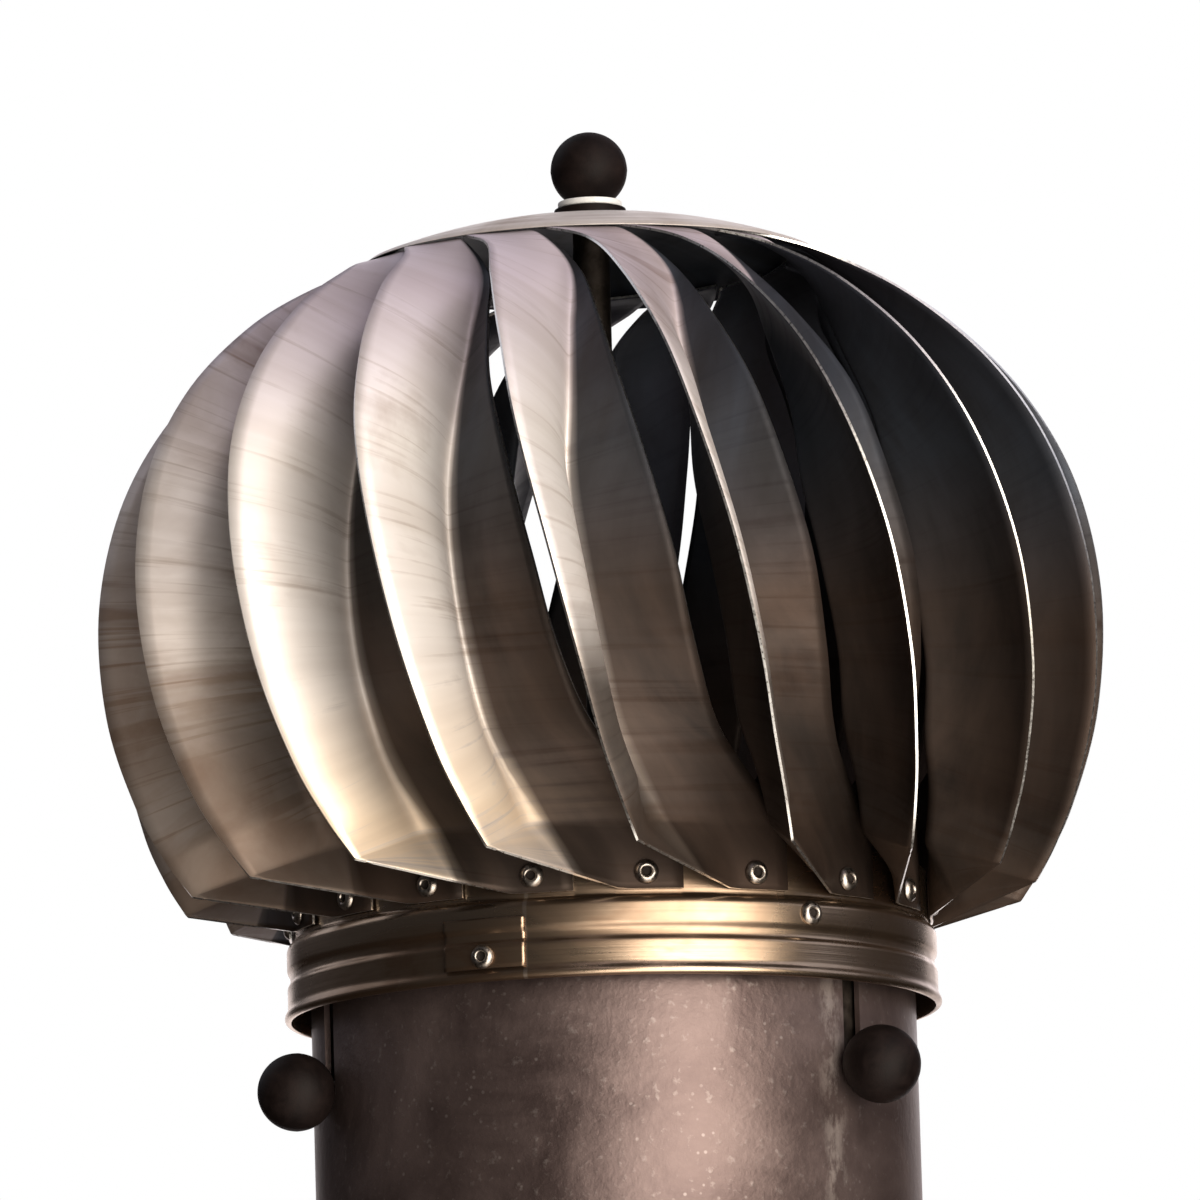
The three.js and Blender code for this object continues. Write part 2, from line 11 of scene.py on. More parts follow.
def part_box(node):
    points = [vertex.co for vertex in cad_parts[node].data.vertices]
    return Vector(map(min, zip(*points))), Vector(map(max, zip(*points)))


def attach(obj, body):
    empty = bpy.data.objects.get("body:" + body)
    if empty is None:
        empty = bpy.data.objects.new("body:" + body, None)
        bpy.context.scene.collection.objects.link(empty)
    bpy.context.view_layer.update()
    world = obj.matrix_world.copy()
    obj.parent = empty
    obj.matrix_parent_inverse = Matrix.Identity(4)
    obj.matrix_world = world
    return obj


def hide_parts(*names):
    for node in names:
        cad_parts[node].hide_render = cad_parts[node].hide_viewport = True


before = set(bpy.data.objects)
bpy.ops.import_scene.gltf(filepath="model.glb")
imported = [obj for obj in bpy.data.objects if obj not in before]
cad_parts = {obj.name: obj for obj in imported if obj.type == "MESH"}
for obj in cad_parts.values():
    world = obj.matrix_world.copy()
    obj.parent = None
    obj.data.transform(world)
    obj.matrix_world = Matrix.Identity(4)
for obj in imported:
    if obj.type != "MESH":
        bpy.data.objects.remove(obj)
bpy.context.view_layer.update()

MM = 0.001

# ---- sizes in millimetres, the same as the frame's ----
SLEEVE_RADIUS = 100.0
SLEEVE_WALL = 2.0
COLLAR_BASE = 78.0
SLEEVE_TOP = 108.0
KNOB_TURNS = [-69.3, 50.7, 170.7]
KNOB_HEIGHT = 51.0
KNOB_BALL_RADIUS = 12.8
KNOB_FLAT_RADIUS = 6.0
KNOB_STANDOFF = 0.4
SCREW_RADIUS = 4.0
SCREW_TIP_DEPTH = 10.0
TOUCH_GAP = 0.3
SPINDLE_RADIUS = 6.0
CAP_RADIUS = 78.0
CAP_RISE = 15.0
CAP_SHEET = 1.0
CAP_CONTACT_ANGLE = 58.0
DISC_RADIUS = 12.0
DISC_THICKNESS = 3.9
WASHER_RADIUS = 10.7
WASHER_THICKNESS = 2.2
FINIAL_BALL_RADIUS = 12.8
FINIAL_FLAT_RADIUS = 7.3
NECK_RADIUS = 105.0
NECK_TOP = 44.0
COLLAR_SHEET = 1.0
BAND_RADIUS = 107.6
BAND_HEIGHT = 26.4
BAND_STEP = 2.6
BEAD_DEPTH = 1.0
BEAD_LOW = 11.6
BEAD_HIGH = 17.0
BEAD_SLOPE = 1.4
LIP_PROUD = 1.1
LIP_HEIGHT = 2.7
LAP_TURN = -22.5
LAP_WIDTH = 15.0
LAP_SHEET = 0.8
LAP_GAP = 0.45
LAP_TOP = 20.5
VANE_COUNT = 18
VANE_SHEET = 0.8
VANE_FIRST_TURN = -4.9
BALL_RADIUS = 167.5
BALL_CENTRE = 202.0
CROWN_HEIGHT = 140.0
CROWN_FULLNESS = 2.18
SKIRT_HEIGHT = 159.0
FOOT_EDGE_ANGLE = -31.0
FOOT_EDGE_TURN = 9.0
FOOT_FOLD = 127.5
FOOT_CREASE_PROUD = 7.0
FOOT_CREASE_TURN = 11.6
FOOT_BELLY = 1.0
FOOT_EDGE_SHARES = [0.08, 0.3, 0.62, 1.0]
TAB_LEFT_TURN = 27.0
TAB_RIGHT_TURN = 38.0
TAB_RADIUS = 106.2
TAB_BOTTOM = 106.0
CREASE_DEPTH = 47.0
LIP_RISE = 15.5
FLANGE_BELLY = 0.13  # share of the crease's depth; a guess, and the real flanges may be flatter
HAND_SET = [-0.4, 0.5, -0.4, 0.3, 0.4, 0, 0.2, 0.5, -0.2]
VANE_RIVET_TURN = 31.3
VANE_RIVET_HEIGHT = COLLAR_BASE + BAND_HEIGHT + 7.0
LAP_RIVET_HEIGHT = COLLAR_BASE + 8.0
BAND_RIVET_TURN = 37.0
BAND_RIVET_HEIGHT = COLLAR_BASE + BAND_HEIGHT - 5.5

# The vane from the foot up: angle, edge turn, crease depth share, crease turn, lip rise share, lip turn
BENDS = [
    (-26, 7, 0.745, 1, -0.419, 20),
    (-19, 4.7, 0.862, 0.3, 0.032, 17.5),
    (-8, 2, 0.936, 1, 0.452, 15.5),
    (5, -1, 1, 2, 0.839, 14.5),
    (18, -4.3, 0.979, 4, 1, 12.5),
    (30, -7.2, 0.809, 7.5, 1, 8.5),
    (42, -11, 0.574, 11.5, 0.645, 5.5),
    (52, -16, 0.245, 16.5, 0.065, 2),
    (58, -25.5, 0.032, 18, -0.065, 0.8),
    (63, -34, 0.032, 17, -0.065, 0.8),
]


# ---- geometry helpers, all in millimetres until the mesh is made ----
def polar(radius, turn, height):
    t = np.radians(turn)
    return np.stack(np.broadcast_arrays(radius * np.sin(t), -radius * np.cos(t), height), -1)


def envelope(angle):
    a = math.radians(angle)
    height, power = (CROWN_HEIGHT, CROWN_FULLNESS) if angle > 0 else (SKIRT_HEIGHT, 2.0)
    across = (math.cos(a) / BALL_RADIUS) ** power
    up = abs(math.sin(a) / height) ** power
    return (across + up) ** (-1 / power)


def in_ball(distance, angle, turn):
    a = math.radians(angle)
    return (distance * math.cos(a), turn, BALL_CENTRE + distance * math.sin(a))


def catmull(points, t):
    """Points of a uniform Catmull-Rom curve at the shares t of its length in spans."""
    p = np.array(points, float)
    p = np.vstack([2 * p[0] - p[1], p, 2 * p[-1] - p[-2]])
    x = np.clip(np.asarray(t, float), 0, 1) * (len(p) - 3)
    k = np.minimum(x.astype(int), len(p) - 4)
    w = (x - k)[:, None]
    a, b, c, d = p[k], p[k + 1], p[k + 2], p[k + 3]
    return 0.5 * (2 * b + (c - a) * w + (2 * a - 5 * b + 4 * c - d) * w**2 + (3 * b - a - 3 * c + d) * w**3)


def new_object(name, verts, faces, body):
    mesh = bpy.data.meshes.new(name)
    mesh.from_pydata([tuple(v) for v in np.asarray(verts, float) * MM], [], [tuple(f) for f in faces])
    mesh.update()
    obj = bpy.data.objects.new(name, mesh)
    bpy.context.scene.collection.objects.link(obj)
    mesh.polygons.foreach_set("use_smooth", [True] * len(mesh.polygons))
    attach(obj, body)
    return obj


def set_corner_uv(mesh, per_vertex):
    layer = mesh.uv_layers.new(name="run")
    loops = np.empty(len(mesh.loops), int)
    mesh.loops.foreach_get("vertex_index", loops)
    layer.data.foreach_set("uv", np.asarray(per_vertex, np.float32)[loops].ravel())


def set_value(mesh, name, per_vertex):
    mesh.attributes.new(name, "FLOAT", "POINT").data.foreach_set("value", np.asarray(per_vertex, np.float32))


def grid_normals(grid):
    du = np.gradient(grid, axis=1)
    dv = np.gradient(grid, axis=0)
    n = np.cross(du, dv)
    return n / np.maximum(np.linalg.norm(n, axis=2, keepdims=True), 1e-12)


def sheet_mesh(name, grid, thickness, body, uv, marks):
    """Closed thin sheet round a grid of middle points. Its rim faces take the second material.

    The marks give each value's name with its arrays for the sheet's two sides.
    """
    rows, cols = grid.shape[:2]
    n = grid_normals(grid)
    front = (grid + n * thickness / 2).reshape(-1, 3)
    back = (grid - n * thickness / 2).reshape(-1, 3)
    count = rows * cols
    at = np.arange(count).reshape(rows, cols)
    a, b, c, d = at[:-1, :-1].ravel(), at[:-1, 1:].ravel(), at[1:, 1:].ravel(), at[1:, :-1].ravel()
    faces = np.concatenate([np.stack([a, b, c, d], 1), np.stack([a, d, c, b], 1) + count])
    border = np.concatenate([at[0, :], at[1:, -1], at[-1, -2::-1], at[-2:0:-1, 0]])
    nxt = np.roll(border, -1)
    rim = np.stack([nxt, border, border + count, nxt + count], 1)
    obj = new_object(name, np.concatenate([front, back]), np.concatenate([faces, rim]).tolist(), body)
    mesh = obj.data
    index = np.zeros(len(mesh.polygons), int)
    index[len(faces) :] = 1
    mesh.polygons.foreach_set("material_index", index)
    mesh.polygons.foreach_set("use_smooth", index == 0)
    set_corner_uv(mesh, np.concatenate([uv.reshape(-1, 2)] * 2))
    for mark, (one_side, other_side) in marks.items():
        set_value(mesh, mark, np.concatenate([one_side.ravel(), other_side.ravel()]))
    return obj


# The share of a side that a rounded corner may take, and a length that counts as none
CORNER_SHARE = 0.45
NO_LENGTH = 1e-6


def rounded(profile, radius, steps=4):
    """Closed [r, z] profile whose corners are rounded by up to a radius; a point may carry its own."""
    out = []
    count = len(profile)
    for i, point in enumerate(profile):
        p = np.array(point[:2], float)
        own = point[2] if len(point) > 2 else radius
        before = np.array(profile[i - 1][:2], float) - p
        after = np.array(profile[(i + 1) % count][:2], float) - p
        cut = min(own, CORNER_SHARE * np.linalg.norm(before), CORNER_SHARE * np.linalg.norm(after))
        if cut < NO_LENGTH:
            out.append(p)
            continue
        a = p + before / np.linalg.norm(before) * cut
        b = p + after / np.linalg.norm(after) * cut
        for k in range(steps + 1):
            t = k / steps
            out.append((1 - t) ** 2 * a + 2 * t * (1 - t) * p + t**2 * b)
    return np.array(out)


def lathe(name, profile, sides, body, wobble=None):
    """Closed ring, or a solid where the profile starts and ends on the axis, turned about +Z."""
    profile = np.asarray(profile, float)
    solid = profile[0][0] < NO_LENGTH and profile[-1][0] < NO_LENGTH
    inner = profile[1:-1] if solid else profile
    turns = np.arange(sides) * 360 / sides
    rings = []
    for r, z in inner:
        rr = np.full(sides, r)
        zz = np.full(sides, z)
        if wobble is not None:
            dr, dz = wobble(r, z, turns)
            rr, zz = rr + dr, zz + dz
        rings.append(polar(rr, turns, zz))
    verts = np.concatenate(rings)
    m = len(inner)
    at = np.arange(m * sides).reshape(m, sides)
    faces = []
    for i in range(m if not solid else m - 1):
        low, high = at[i], at[(i + 1) % m]
        for k in range(sides):
            j = (k + 1) % sides
            faces.append((low[k], low[j], high[j], high[k]))
    if solid:
        base, top = len(verts), len(verts) + 1
        verts = np.concatenate([verts, [[0, 0, profile[0][1]], [0, 0, profile[-1][1]]]])
        for k in range(sides):
            j = (k + 1) % sides
            faces.append((base, at[0][j], at[0][k]))
            faces.append((top, at[-1][k], at[-1][j]))
    return new_object(name, verts, faces, body)


def lay_outward(obj, radius, height, turn):
    """Lays a piece made on the axis outward at a radius, a height and a turn, in its mesh."""
    matrix = (
        Matrix.Rotation(math.radians(turn), 4, "Z")
        @ Matrix.Translation(Vector((0, -radius, height)) * MM)
        @ Matrix.Rotation(math.pi / 2, 4, "X")
    )
    obj.data.transform(matrix)


def sharpen(obj, degrees):
    """Marks edges sharper than an angle, so that smooth shading stops there."""
    obj.data.set_sharp_from_angle(angle=math.radians(degrees))


# ---- shader helpers ----
# Metres of uv a radian round the axis; the band's seam on that scale, at the lap's right side
UNROLLED = 0.1
SEAM_TURN = math.radians(LAP_TURN + LAP_WIDTH / 2) * UNROLLED
SEAM_WIDTH = 0.0008
SEAM_SHARE = 0.6

# Metres: heights between which the vanes' tints come in, and the pale run on the sleeve.
# These tints and the dark shade colour are guesses from tones. The warm tint low down is painted reflection of
# warm light, the lavender tint high up is painted reflection of the sky, and the bluish dark colour higher up is
# painted reflection within the painted shade.
WARM_REFLECTION_HEIGHTS = (0.13, 0.18)
SKY_REFLECTION_HEIGHTS = (0.25, 0.31)
BLUE_REFLECTION_HEIGHTS = (0.20, 0.25)
RUN_X = 0.0705
RUN_HALF_WIDTHS = (0.001, 0.005)
RUN_FRONT = (-0.02, 0)

DULL_SPECULAR = 0.1
VANE_METALLIC = 0.45
SLEEVE_METALLIC = 0.8


class Shader:
    def __init__(self, name):
        self.material = bpy.data.materials.new(name)
        self.material.use_nodes = True
        self.tree = self.material.node_tree
        self.tree.nodes.clear()
        self.surface = self.add("ShaderNodeBsdfPrincipled")
        output = self.add("ShaderNodeOutputMaterial")
        self.link(self.surface.outputs["BSDF"], output.inputs["Surface"])

    def add(self, kind, **settings):
        node = self.tree.nodes.new(kind)
        for key, value in settings.items():
            setattr(node, key, value)
        return node

    def link(self, a, b):
        self.tree.links.new(a, b)

    def put(self, socket, value):
        if isinstance(value, bpy.types.NodeSocket):
            self.link(value, socket)
        else:
            socket.default_value = value

    def uv(self, scale):
        coords = self.add("ShaderNodeUVMap", uv_map="run")
        return self.mapped(coords.outputs["UV"], scale)

    def place(self, scale=(1, 1, 1)):
        coords = self.add("ShaderNodeTexCoord")
        return self.mapped(coords.outputs["Object"], scale)

    def axis(self, name):
        split = self.add("ShaderNodeSeparateXYZ")
        self.link(self.add("ShaderNodeTexCoord").outputs["Object"], split.inputs[0])
        return split.outputs[name]

    def mapped(self, vector, scale):
        mapping = self.add("ShaderNodeMapping")
        mapping.inputs["Scale"].default_value = scale
        self.link(vector, mapping.inputs["Vector"])
        return mapping.outputs["Vector"]

    def noise(self, vector, scale, detail=3.0, rough=0.55, distortion=0.0):
        node = self.add("ShaderNodeTexNoise")
        self.link(vector, node.inputs["Vector"])
        node.inputs["Scale"].default_value = scale
        node.inputs["Detail"].default_value = detail
        node.inputs["Roughness"].default_value = rough
        node.inputs["Distortion"].default_value = distortion
        return node.outputs["Fac"]

    def spots(self, vector, scale, low, high):
        node = self.add("ShaderNodeTexVoronoi")
        self.link(vector, node.inputs["Vector"])
        node.inputs["Scale"].default_value = scale
        return self.span(node.outputs["Distance"], low, high, 1, 0)

    def span(self, value, low, high, to_low=0.0, to_high=1.0):
        node = self.add("ShaderNodeMapRange")
        self.link(value, node.inputs["Value"])
        node.inputs["From Min"].default_value = low
        node.inputs["From Max"].default_value = high
        node.inputs["To Min"].default_value = to_low
        node.inputs["To Max"].default_value = to_high
        return node.outputs["Result"]

    def math(self, operation, a, b=0.0, clamp=False):
        node = self.add("ShaderNodeMath", operation=operation, use_clamp=clamp)
        self.put(node.inputs[0], a)
        self.put(node.inputs[1], b)
        return node.outputs[0]

    def seam(self):
        """A thin line up the band where its ends meet, beside the lap."""
        split = self.add("ShaderNodeSeparateXYZ")
        self.link(self.uv((1, 1, 1)), split.inputs[0])
        off = self.math("ABSOLUTE", self.math("SUBTRACT", split.outputs["X"], SEAM_TURN))
        return self.span(off, SEAM_WIDTH / 2, SEAM_WIDTH, 1, 0)

    def value(self, name):
        return self.add("ShaderNodeAttribute", attribute_name=name).outputs["Fac"]

    def blend(self, share, a, b):
        node = self.add("ShaderNodeMix", data_type="RGBA")
        self.put(node.inputs["Factor"], share)
        self.put(node.inputs["A"], a)
        self.put(node.inputs["B"], b)
        return node.outputs["Result"]

    def tint(self, colour, by):
        node = self.add("ShaderNodeMix", data_type="RGBA", blend_type="MULTIPLY")
        node.inputs["Factor"].default_value = 1.0
        self.put(node.inputs["A"], colour)
        self.put(node.inputs["B"], by)
        return node.outputs["Result"]

    def bump(self, height, distance):
        node = self.add("ShaderNodeBump")
        node.inputs["Strength"].default_value = 1.0
        node.inputs["Distance"].default_value = distance
        self.link(height, node.inputs["Height"])
        return node.outputs["Normal"]

    def finish(self, colour, roughness, metallic=0.0, normal=None):
        self.put(self.surface.inputs["Base Color"], colour)
        self.put(self.surface.inputs["Roughness"], roughness)
        self.surface.inputs["Metallic"].default_value = metallic
        if normal is not None:
            self.link(normal, self.surface.inputs["Normal"])
        return self.material


def rgb(r, g, b):
    return (r, g, b, 1.0)


def vane_material(name="vane_steel", with_sky_reflection=True):
    """Brushed stainless sheet with rolling lines across the strip and warm tarnish, painted reflections of warm
    light low down and of the sky high up, and painted shade.
    """
    s = Shader(name)
    # tarnish mark, which on the vanes that show most also holds painted highlight and shade
    tarnish_and_light = s.value("tarnish_and_light")
    lines = s.noise(s.uv((7, 330, 1)), 1.0, 3.0, 0.6)
    bands = s.noise(s.uv((4, 70, 1)), 1.0, 3.0, 0.6, 0.2)
    cloud = s.noise(s.uv((12, 18, 1)), 1.0, 5.0, 0.6, 0.9)
    blotch = s.noise(s.place(), 30.0, 5.0, 0.62, 0.6)
    mask = s.math("ADD", s.span(cloud, 0.45, 0.75, 0, 0.6), tarnish_and_light)
    mask = s.math("ADD", mask, s.span(blotch, 0.52, 0.78, 0, 0.35))
    mask = s.math("ADD", mask, s.span(lines, 0.54, 0.70, 0, 0.5))
    mask = s.math("ADD", mask, s.span(bands, 0.55, 0.68, 0, 0.5), clamp=True)
    clean = s.blend(s.span(bands, 0.35, 0.65), rgb(0.80, 0.73, 0.68), rgb(0.92, 0.86, 0.82))
    brown = s.blend(s.span(blotch, 0.35, 0.65), rgb(0.33, 0.235, 0.18), rgb(0.44, 0.35, 0.29))
    colour = s.blend(mask, clean, brown)
    # painted reflection of warm light: a warm tint on the clean metal low on the vanes
    warm_reflection = s.math("MULTIPLY", s.span(s.axis("Z"), *WARM_REFLECTION_HEIGHTS, 1, 0), s.span(mask, 0, 0.6, 1, 0))
    colour = s.blend(warm_reflection, colour, s.tint(colour, rgb(1.0, 0.87, 0.70)))
    # painted reflection of the sky: a lavender tint on the upper part of the vanes, left off the cap
    if with_sky_reflection:
        sky_reflection = s.span(s.axis("Z"), *SKY_REFLECTION_HEIGHTS)
        colour = s.blend(sky_reflection, colour, s.tint(colour, rgb(0.74, 0.69, 0.80)))
    # painted shade: a near-black colour, warm low down and bluish higher up, laid over the vane by the shade mark;
    # the bluish part is painted reflection
    patch = s.span(s.noise(s.uv((30, 11, 1)), 1.0, 5.0, 0.6, 0.5), 0.36, 0.68)
    warm = s.blend(patch, rgb(0.010, 0.006, 0.0045), rgb(0.042, 0.026, 0.019))
    cool = s.blend(patch, rgb(0.012, 0.013, 0.016), rgb(0.030, 0.037, 0.050))
    painted_shade_colour = s.blend(s.span(s.axis("Z"), *BLUE_REFLECTION_HEIGHTS), warm, cool)
    colour = s.blend(s.value("painted_shade"), colour, painted_shade_colour)
    rough = s.math("ADD", s.span(mask, 0, 1, 0.44, 0.52), s.span(lines, 0.3, 0.7, -0.02, 0.04))
    normal = s.bump(lines, 0.00003)
    s.surface.inputs["Specular IOR Level"].default_value = DULL_SPECULAR
    return s.finish(colour, rough, VANE_METALLIC, normal)


def edge_material():
    s = Shader("cut_edge_steel")
    grain = s.noise(s.place(), 900.0, 2.0)
    colour = s.blend(s.span(grain, 0.3, 0.7), rgb(0.78, 0.75, 0.71), rgb(0.9, 0.88, 0.85))
    return s.finish(colour, s.span(grain, 0.3, 0.7, 0.25, 0.4), 1.0)


def band_material(name="band_steel", dark=0.0):
    """Brass-brown tarnished stainless, brushed round the ring."""
    s = Shader(name)
    fine = s.noise(s.uv((6, 900, 1)), 1.0, 3.0)
    lines = s.noise(s.uv((4, 160, 1)), 1.0, 3.0)
    cloud = s.noise(s.uv((9, 26, 1)), 1.0, 5.0, 0.6, 0.8)
    streak = s.noise(s.uv((22, 60, 1)), 1.0, 4.0, 0.6, 0.5)
    mask = s.span(cloud, 0.42, 0.68, dark, 1.0)
    mask = s.math("ADD", mask, s.span(lines, 0.5, 0.72, 0, 0.35))
    mask = s.math("ADD", mask, s.span(streak, 0.55, 0.7, 0, 0.5), clamp=True)
    colour = s.blend(mask, rgb(0.47, 0.35, 0.25), rgb(0.22, 0.14, 0.09))
    if dark == 0:
        colour = s.blend(s.math("MULTIPLY", s.seam(), SEAM_SHARE), colour, rgb(0.62, 0.52, 0.43))
    rough = s.span(mask, 0, 1, 0.24, 0.38)
    normal = s.bump(s.math("ADD", fine, s.math("MULTIPLY", lines, 0.8)), 0.00006)
    return s.finish(colour, rough, 1.0, normal)


def sleeve_material():
    """Heat-stained flue steel: matte purple brown, mottled, with pale spatter."""
    s = Shader("sleeve_steel")
    cloud = s.noise(s.place(), 22.0, 6.0, 0.62, 0.6)
    fine = s.noise(s.place(), 320.0, 4.0, 0.6)
    colour = s.blend(s.span(cloud, 0.35, 0.68), rgb(0.085, 0.058, 0.054), rgb(0.18, 0.13, 0.12))
    colour = s.blend(s.span(fine, 0.60, 0.75, 0, 0.4), colour, rgb(0.34, 0.29, 0.27))
    specks = s.spots(s.place(), 260.0, 0.10, 0.18)
    rare = s.span(s.noise(s.place(), 60.0, 3.0), 0.5, 0.62)
    spatter = s.math("MULTIPLY", specks, s.math("MULTIPLY", rare, 0.25))
    colour = s.blend(spatter, colour, rgb(0.55, 0.48, 0.45))
    # a pale run beside the slot at the front right
    off = s.math("ABSOLUTE", s.math("SUBTRACT", s.axis("X"), RUN_X))
    run = s.math("MULTIPLY", s.span(off, *RUN_HALF_WIDTHS, 1, 0), s.span(s.axis("Y"), *RUN_FRONT, 1, 0))
    ragged = s.span(s.noise(s.place((1, 1, 0.5)), 150.0, 5.0, 0.65), 0.48, 0.6, 0, 0.55)
    colour = s.blend(s.math("MULTIPLY", run, ragged), colour, rgb(0.50, 0.42, 0.38))
    normal = s.bump(fine, 0.00018)
    return s.finish(colour, s.span(cloud, 0.3, 0.7, 0.36, 0.5), SLEEVE_METALLIC, normal)


def plain_steel(name, low, high, rough, scale=160.0):
    s = Shader(name)
    grain = s.noise(s.place(), scale, 4.0, 0.6, 0.3)
    colour = s.blend(s.span(grain, 0.35, 0.68), low, high)
    normal = s.bump(grain, 0.00008)
    return s.finish(colour, s.span(grain, 0.3, 0.7, rough - 0.06, rough + 0.08), 1.0, normal)


def knob_material():
    """Weathered dark phenolic plastic."""
    s = Shader("knob_plastic")
    cloud = s.noise(s.place(), 120.0, 5.0, 0.6, 0.4)
    fine = s.noise(s.place(), 1400.0, 2.0)
    colour = s.blend(s.span(cloud, 0.35, 0.7), rgb(0.005, 0.003, 0.0027), rgb(0.013, 0.008, 0.007))
    normal = s.bump(s.math("ADD", fine, cloud), 0.00006)
    s.surface.inputs["Specular IOR Level"].default_value = DULL_SPECULAR
    return s.finish(colour, s.span(cloud, 0.3, 0.7, 0.5, 0.66), 0.0, normal)


def pale_washer_material():
    s = Shader("zinc")
    grain = s.noise(s.place(), 500.0, 3.0)
    colour = s.blend(s.span(grain, 0.3, 0.7), rgb(0.78, 0.77, 0.75), rgb(0.9, 0.89, 0.87))
    return s.finish(colour, 0.5, 0.0, s.bump(grain, 0.00004))


# painted shade: near black for the rivets' open middles and the lap's cut edges
def painted_hole_shade_material():
    s = Shader("painted_hole_shade")
    grain = s.noise(s.place(), 700.0, 2.0)
    s.surface.inputs["Specular IOR Level"].default_value = DULL_SPECULAR
    return s.finish(s.blend(grain, rgb(0.010, 0.008, 0.007), rgb(0.03, 0.022, 0.018)), 0.7)


VANE = vane_material()
CAP = vane_material("cap_steel", False)
EDGE = edge_material()
BAND = band_material()
LAP = band_material("lap_steel", 0.45)
SLEEVE = sleeve_material()
HIDDEN = plain_steel("inner_steel", rgb(0.03, 0.024, 0.02), rgb(0.08, 0.065, 0.055), 0.55)
RIVET = plain_steel("rivet_steel", rgb(0.26, 0.22, 0.19), rgb(0.50, 0.45, 0.40), 0.3, 700.0)
HOLE_SHADE = painted_hole_shade_material()
ZINC = pale_washer_material()
KNOB = knob_material()


def dress(obj, slot, *materials):
    for material in materials:
        obj.data.materials.append(material)


# ---- vanes ----
FLANGE_COLUMNS = 10
CREASE_ROUND = 3.2
CREASE_STEPS = 6
FOLD_SHARE = 0.0095
FOOT_SHARE = 0.07
FOLD_STEPS = 5
FOOT_ROWS = 10
TOP_ROWS = 81
ROWS_TO_FOLD = 14
FOLD_BLEND = 0.1
UNEVEN = 0.16


def vane_lines():
    edge = [in_ball(envelope(FOOT_EDGE_ANGLE), FOOT_EDGE_ANGLE, FOOT_EDGE_TURN)]
    crease = [(NECK_RADIUS + FOOT_CREASE_PROUD, FOOT_CREASE_TURN, FOOT_FOLD)]
    lip = [(TAB_RADIUS, TAB_RIGHT_TURN, FOOT_FOLD)]
    for angle, edge_turn, depth, crease_turn, rise, lip_turn in BENDS:
        tuck = CAP_SHEET if angle > CAP_CONTACT_ANGLE else 0.0
        outer = envelope(angle) - tuck
        inner = outer - depth * CREASE_DEPTH
        edge.append(in_ball(outer, angle, edge_turn))
        crease.append(in_ball(inner, angle, edge_turn + crease_turn))
        lip.append(in_ball(inner + rise * LIP_RISE, angle, edge_turn + crease_turn + lip_turn))
    return edge, crease, lip


EDGE_LINE, CREASE_LINE, LIP_LINE = vane_lines()


def column_shares(edge_point, crease_point, lip_point):
    """Middle surface of one row, from the edge over the rounded crease to the lip."""
    e, c, l = edge_point, crease_point, lip_point
    outer, inner = np.linalg.norm(c - e), np.linalg.norm(l - c)
    cut_e = min(CREASE_ROUND, 0.3 * outer) / outer
    cut_l = min(CREASE_ROUND, 0.3 * inner) / inner
    centre = np.array([0, 0, BALL_CENTRE])
    depth = np.linalg.norm(e - centre) - np.linalg.norm(c - centre)
    side = np.cross(c - e, [0, 0, 1])
    belly = side / np.linalg.norm(side) * FLANGE_BELLY * depth
    s = np.linspace(0, 1 - cut_e, FLANGE_COLUMNS)[:, None]
    before = e + (c - e) * s + belly * 4 * s * (1 - s)
    t = np.linspace(0, 1, CREASE_STEPS + 1)[1:-1, None]
    a, b = before[-1], c + (l - c) * cut_l
    bend = (1 - t) ** 2 * a + 2 * t * (1 - t) * c + t**2 * b
    s = np.linspace(cut_l, 1, FLANGE_COLUMNS)[:, None]
    after = c + (l - c) * s
    return np.concatenate([before, bend, after])


# Place of each column along the row: 0 at the edge, 2 at the crease, 4 at the lip
COLUMN_PLACE = np.concatenate(
    [
        np.linspace(0, 1.9, FLANGE_COLUMNS),
        np.linspace(1.9, 2.1, CREASE_STEPS + 1)[1:-1],
        np.linspace(2.1, 4, FLANGE_COLUMNS),
    ]
)


def fold_row():
    """The row of the foot's fold: straight to the crease, then round the neck."""
    e = polar(*EDGE_LINE[0])
    c = polar(*CREASE_LINE[0])
    u = COLUMN_PLACE
    s = np.clip((u - 2) / 2, 0, 1)
    low, mid, high = CREASE_LINE[0][0], TAB_RADIUS + FOOT_BELLY, TAB_RADIUS
    r = low * (1 - s) * (1 - 2 * s) + 4 * mid * s * (1 - s) + high * s * (2 * s - 1)
    turn = FOOT_CREASE_TURN + (TAB_RIGHT_TURN - FOOT_CREASE_TURN) * s
    round_neck = polar(r, turn, FOOT_FOLD)
    straight = e + (c - e) * np.clip(u / 2, 0, 1)[:, None]
    row = np.where((u <= 2)[:, None], straight, round_neck)
    # takes the corner off at the crease
    near = np.abs(u - 2) < 0.11
    k = np.where(near)[0]
    a, b = row[k[0] - 1], row[k[-1] + 1]
    t = np.linspace(0, 1, len(k) + 2)[1:-1, None]
    row[k] = (1 - t) ** 2 * a + 2 * t * (1 - t) * c + t**2 * b
    return row


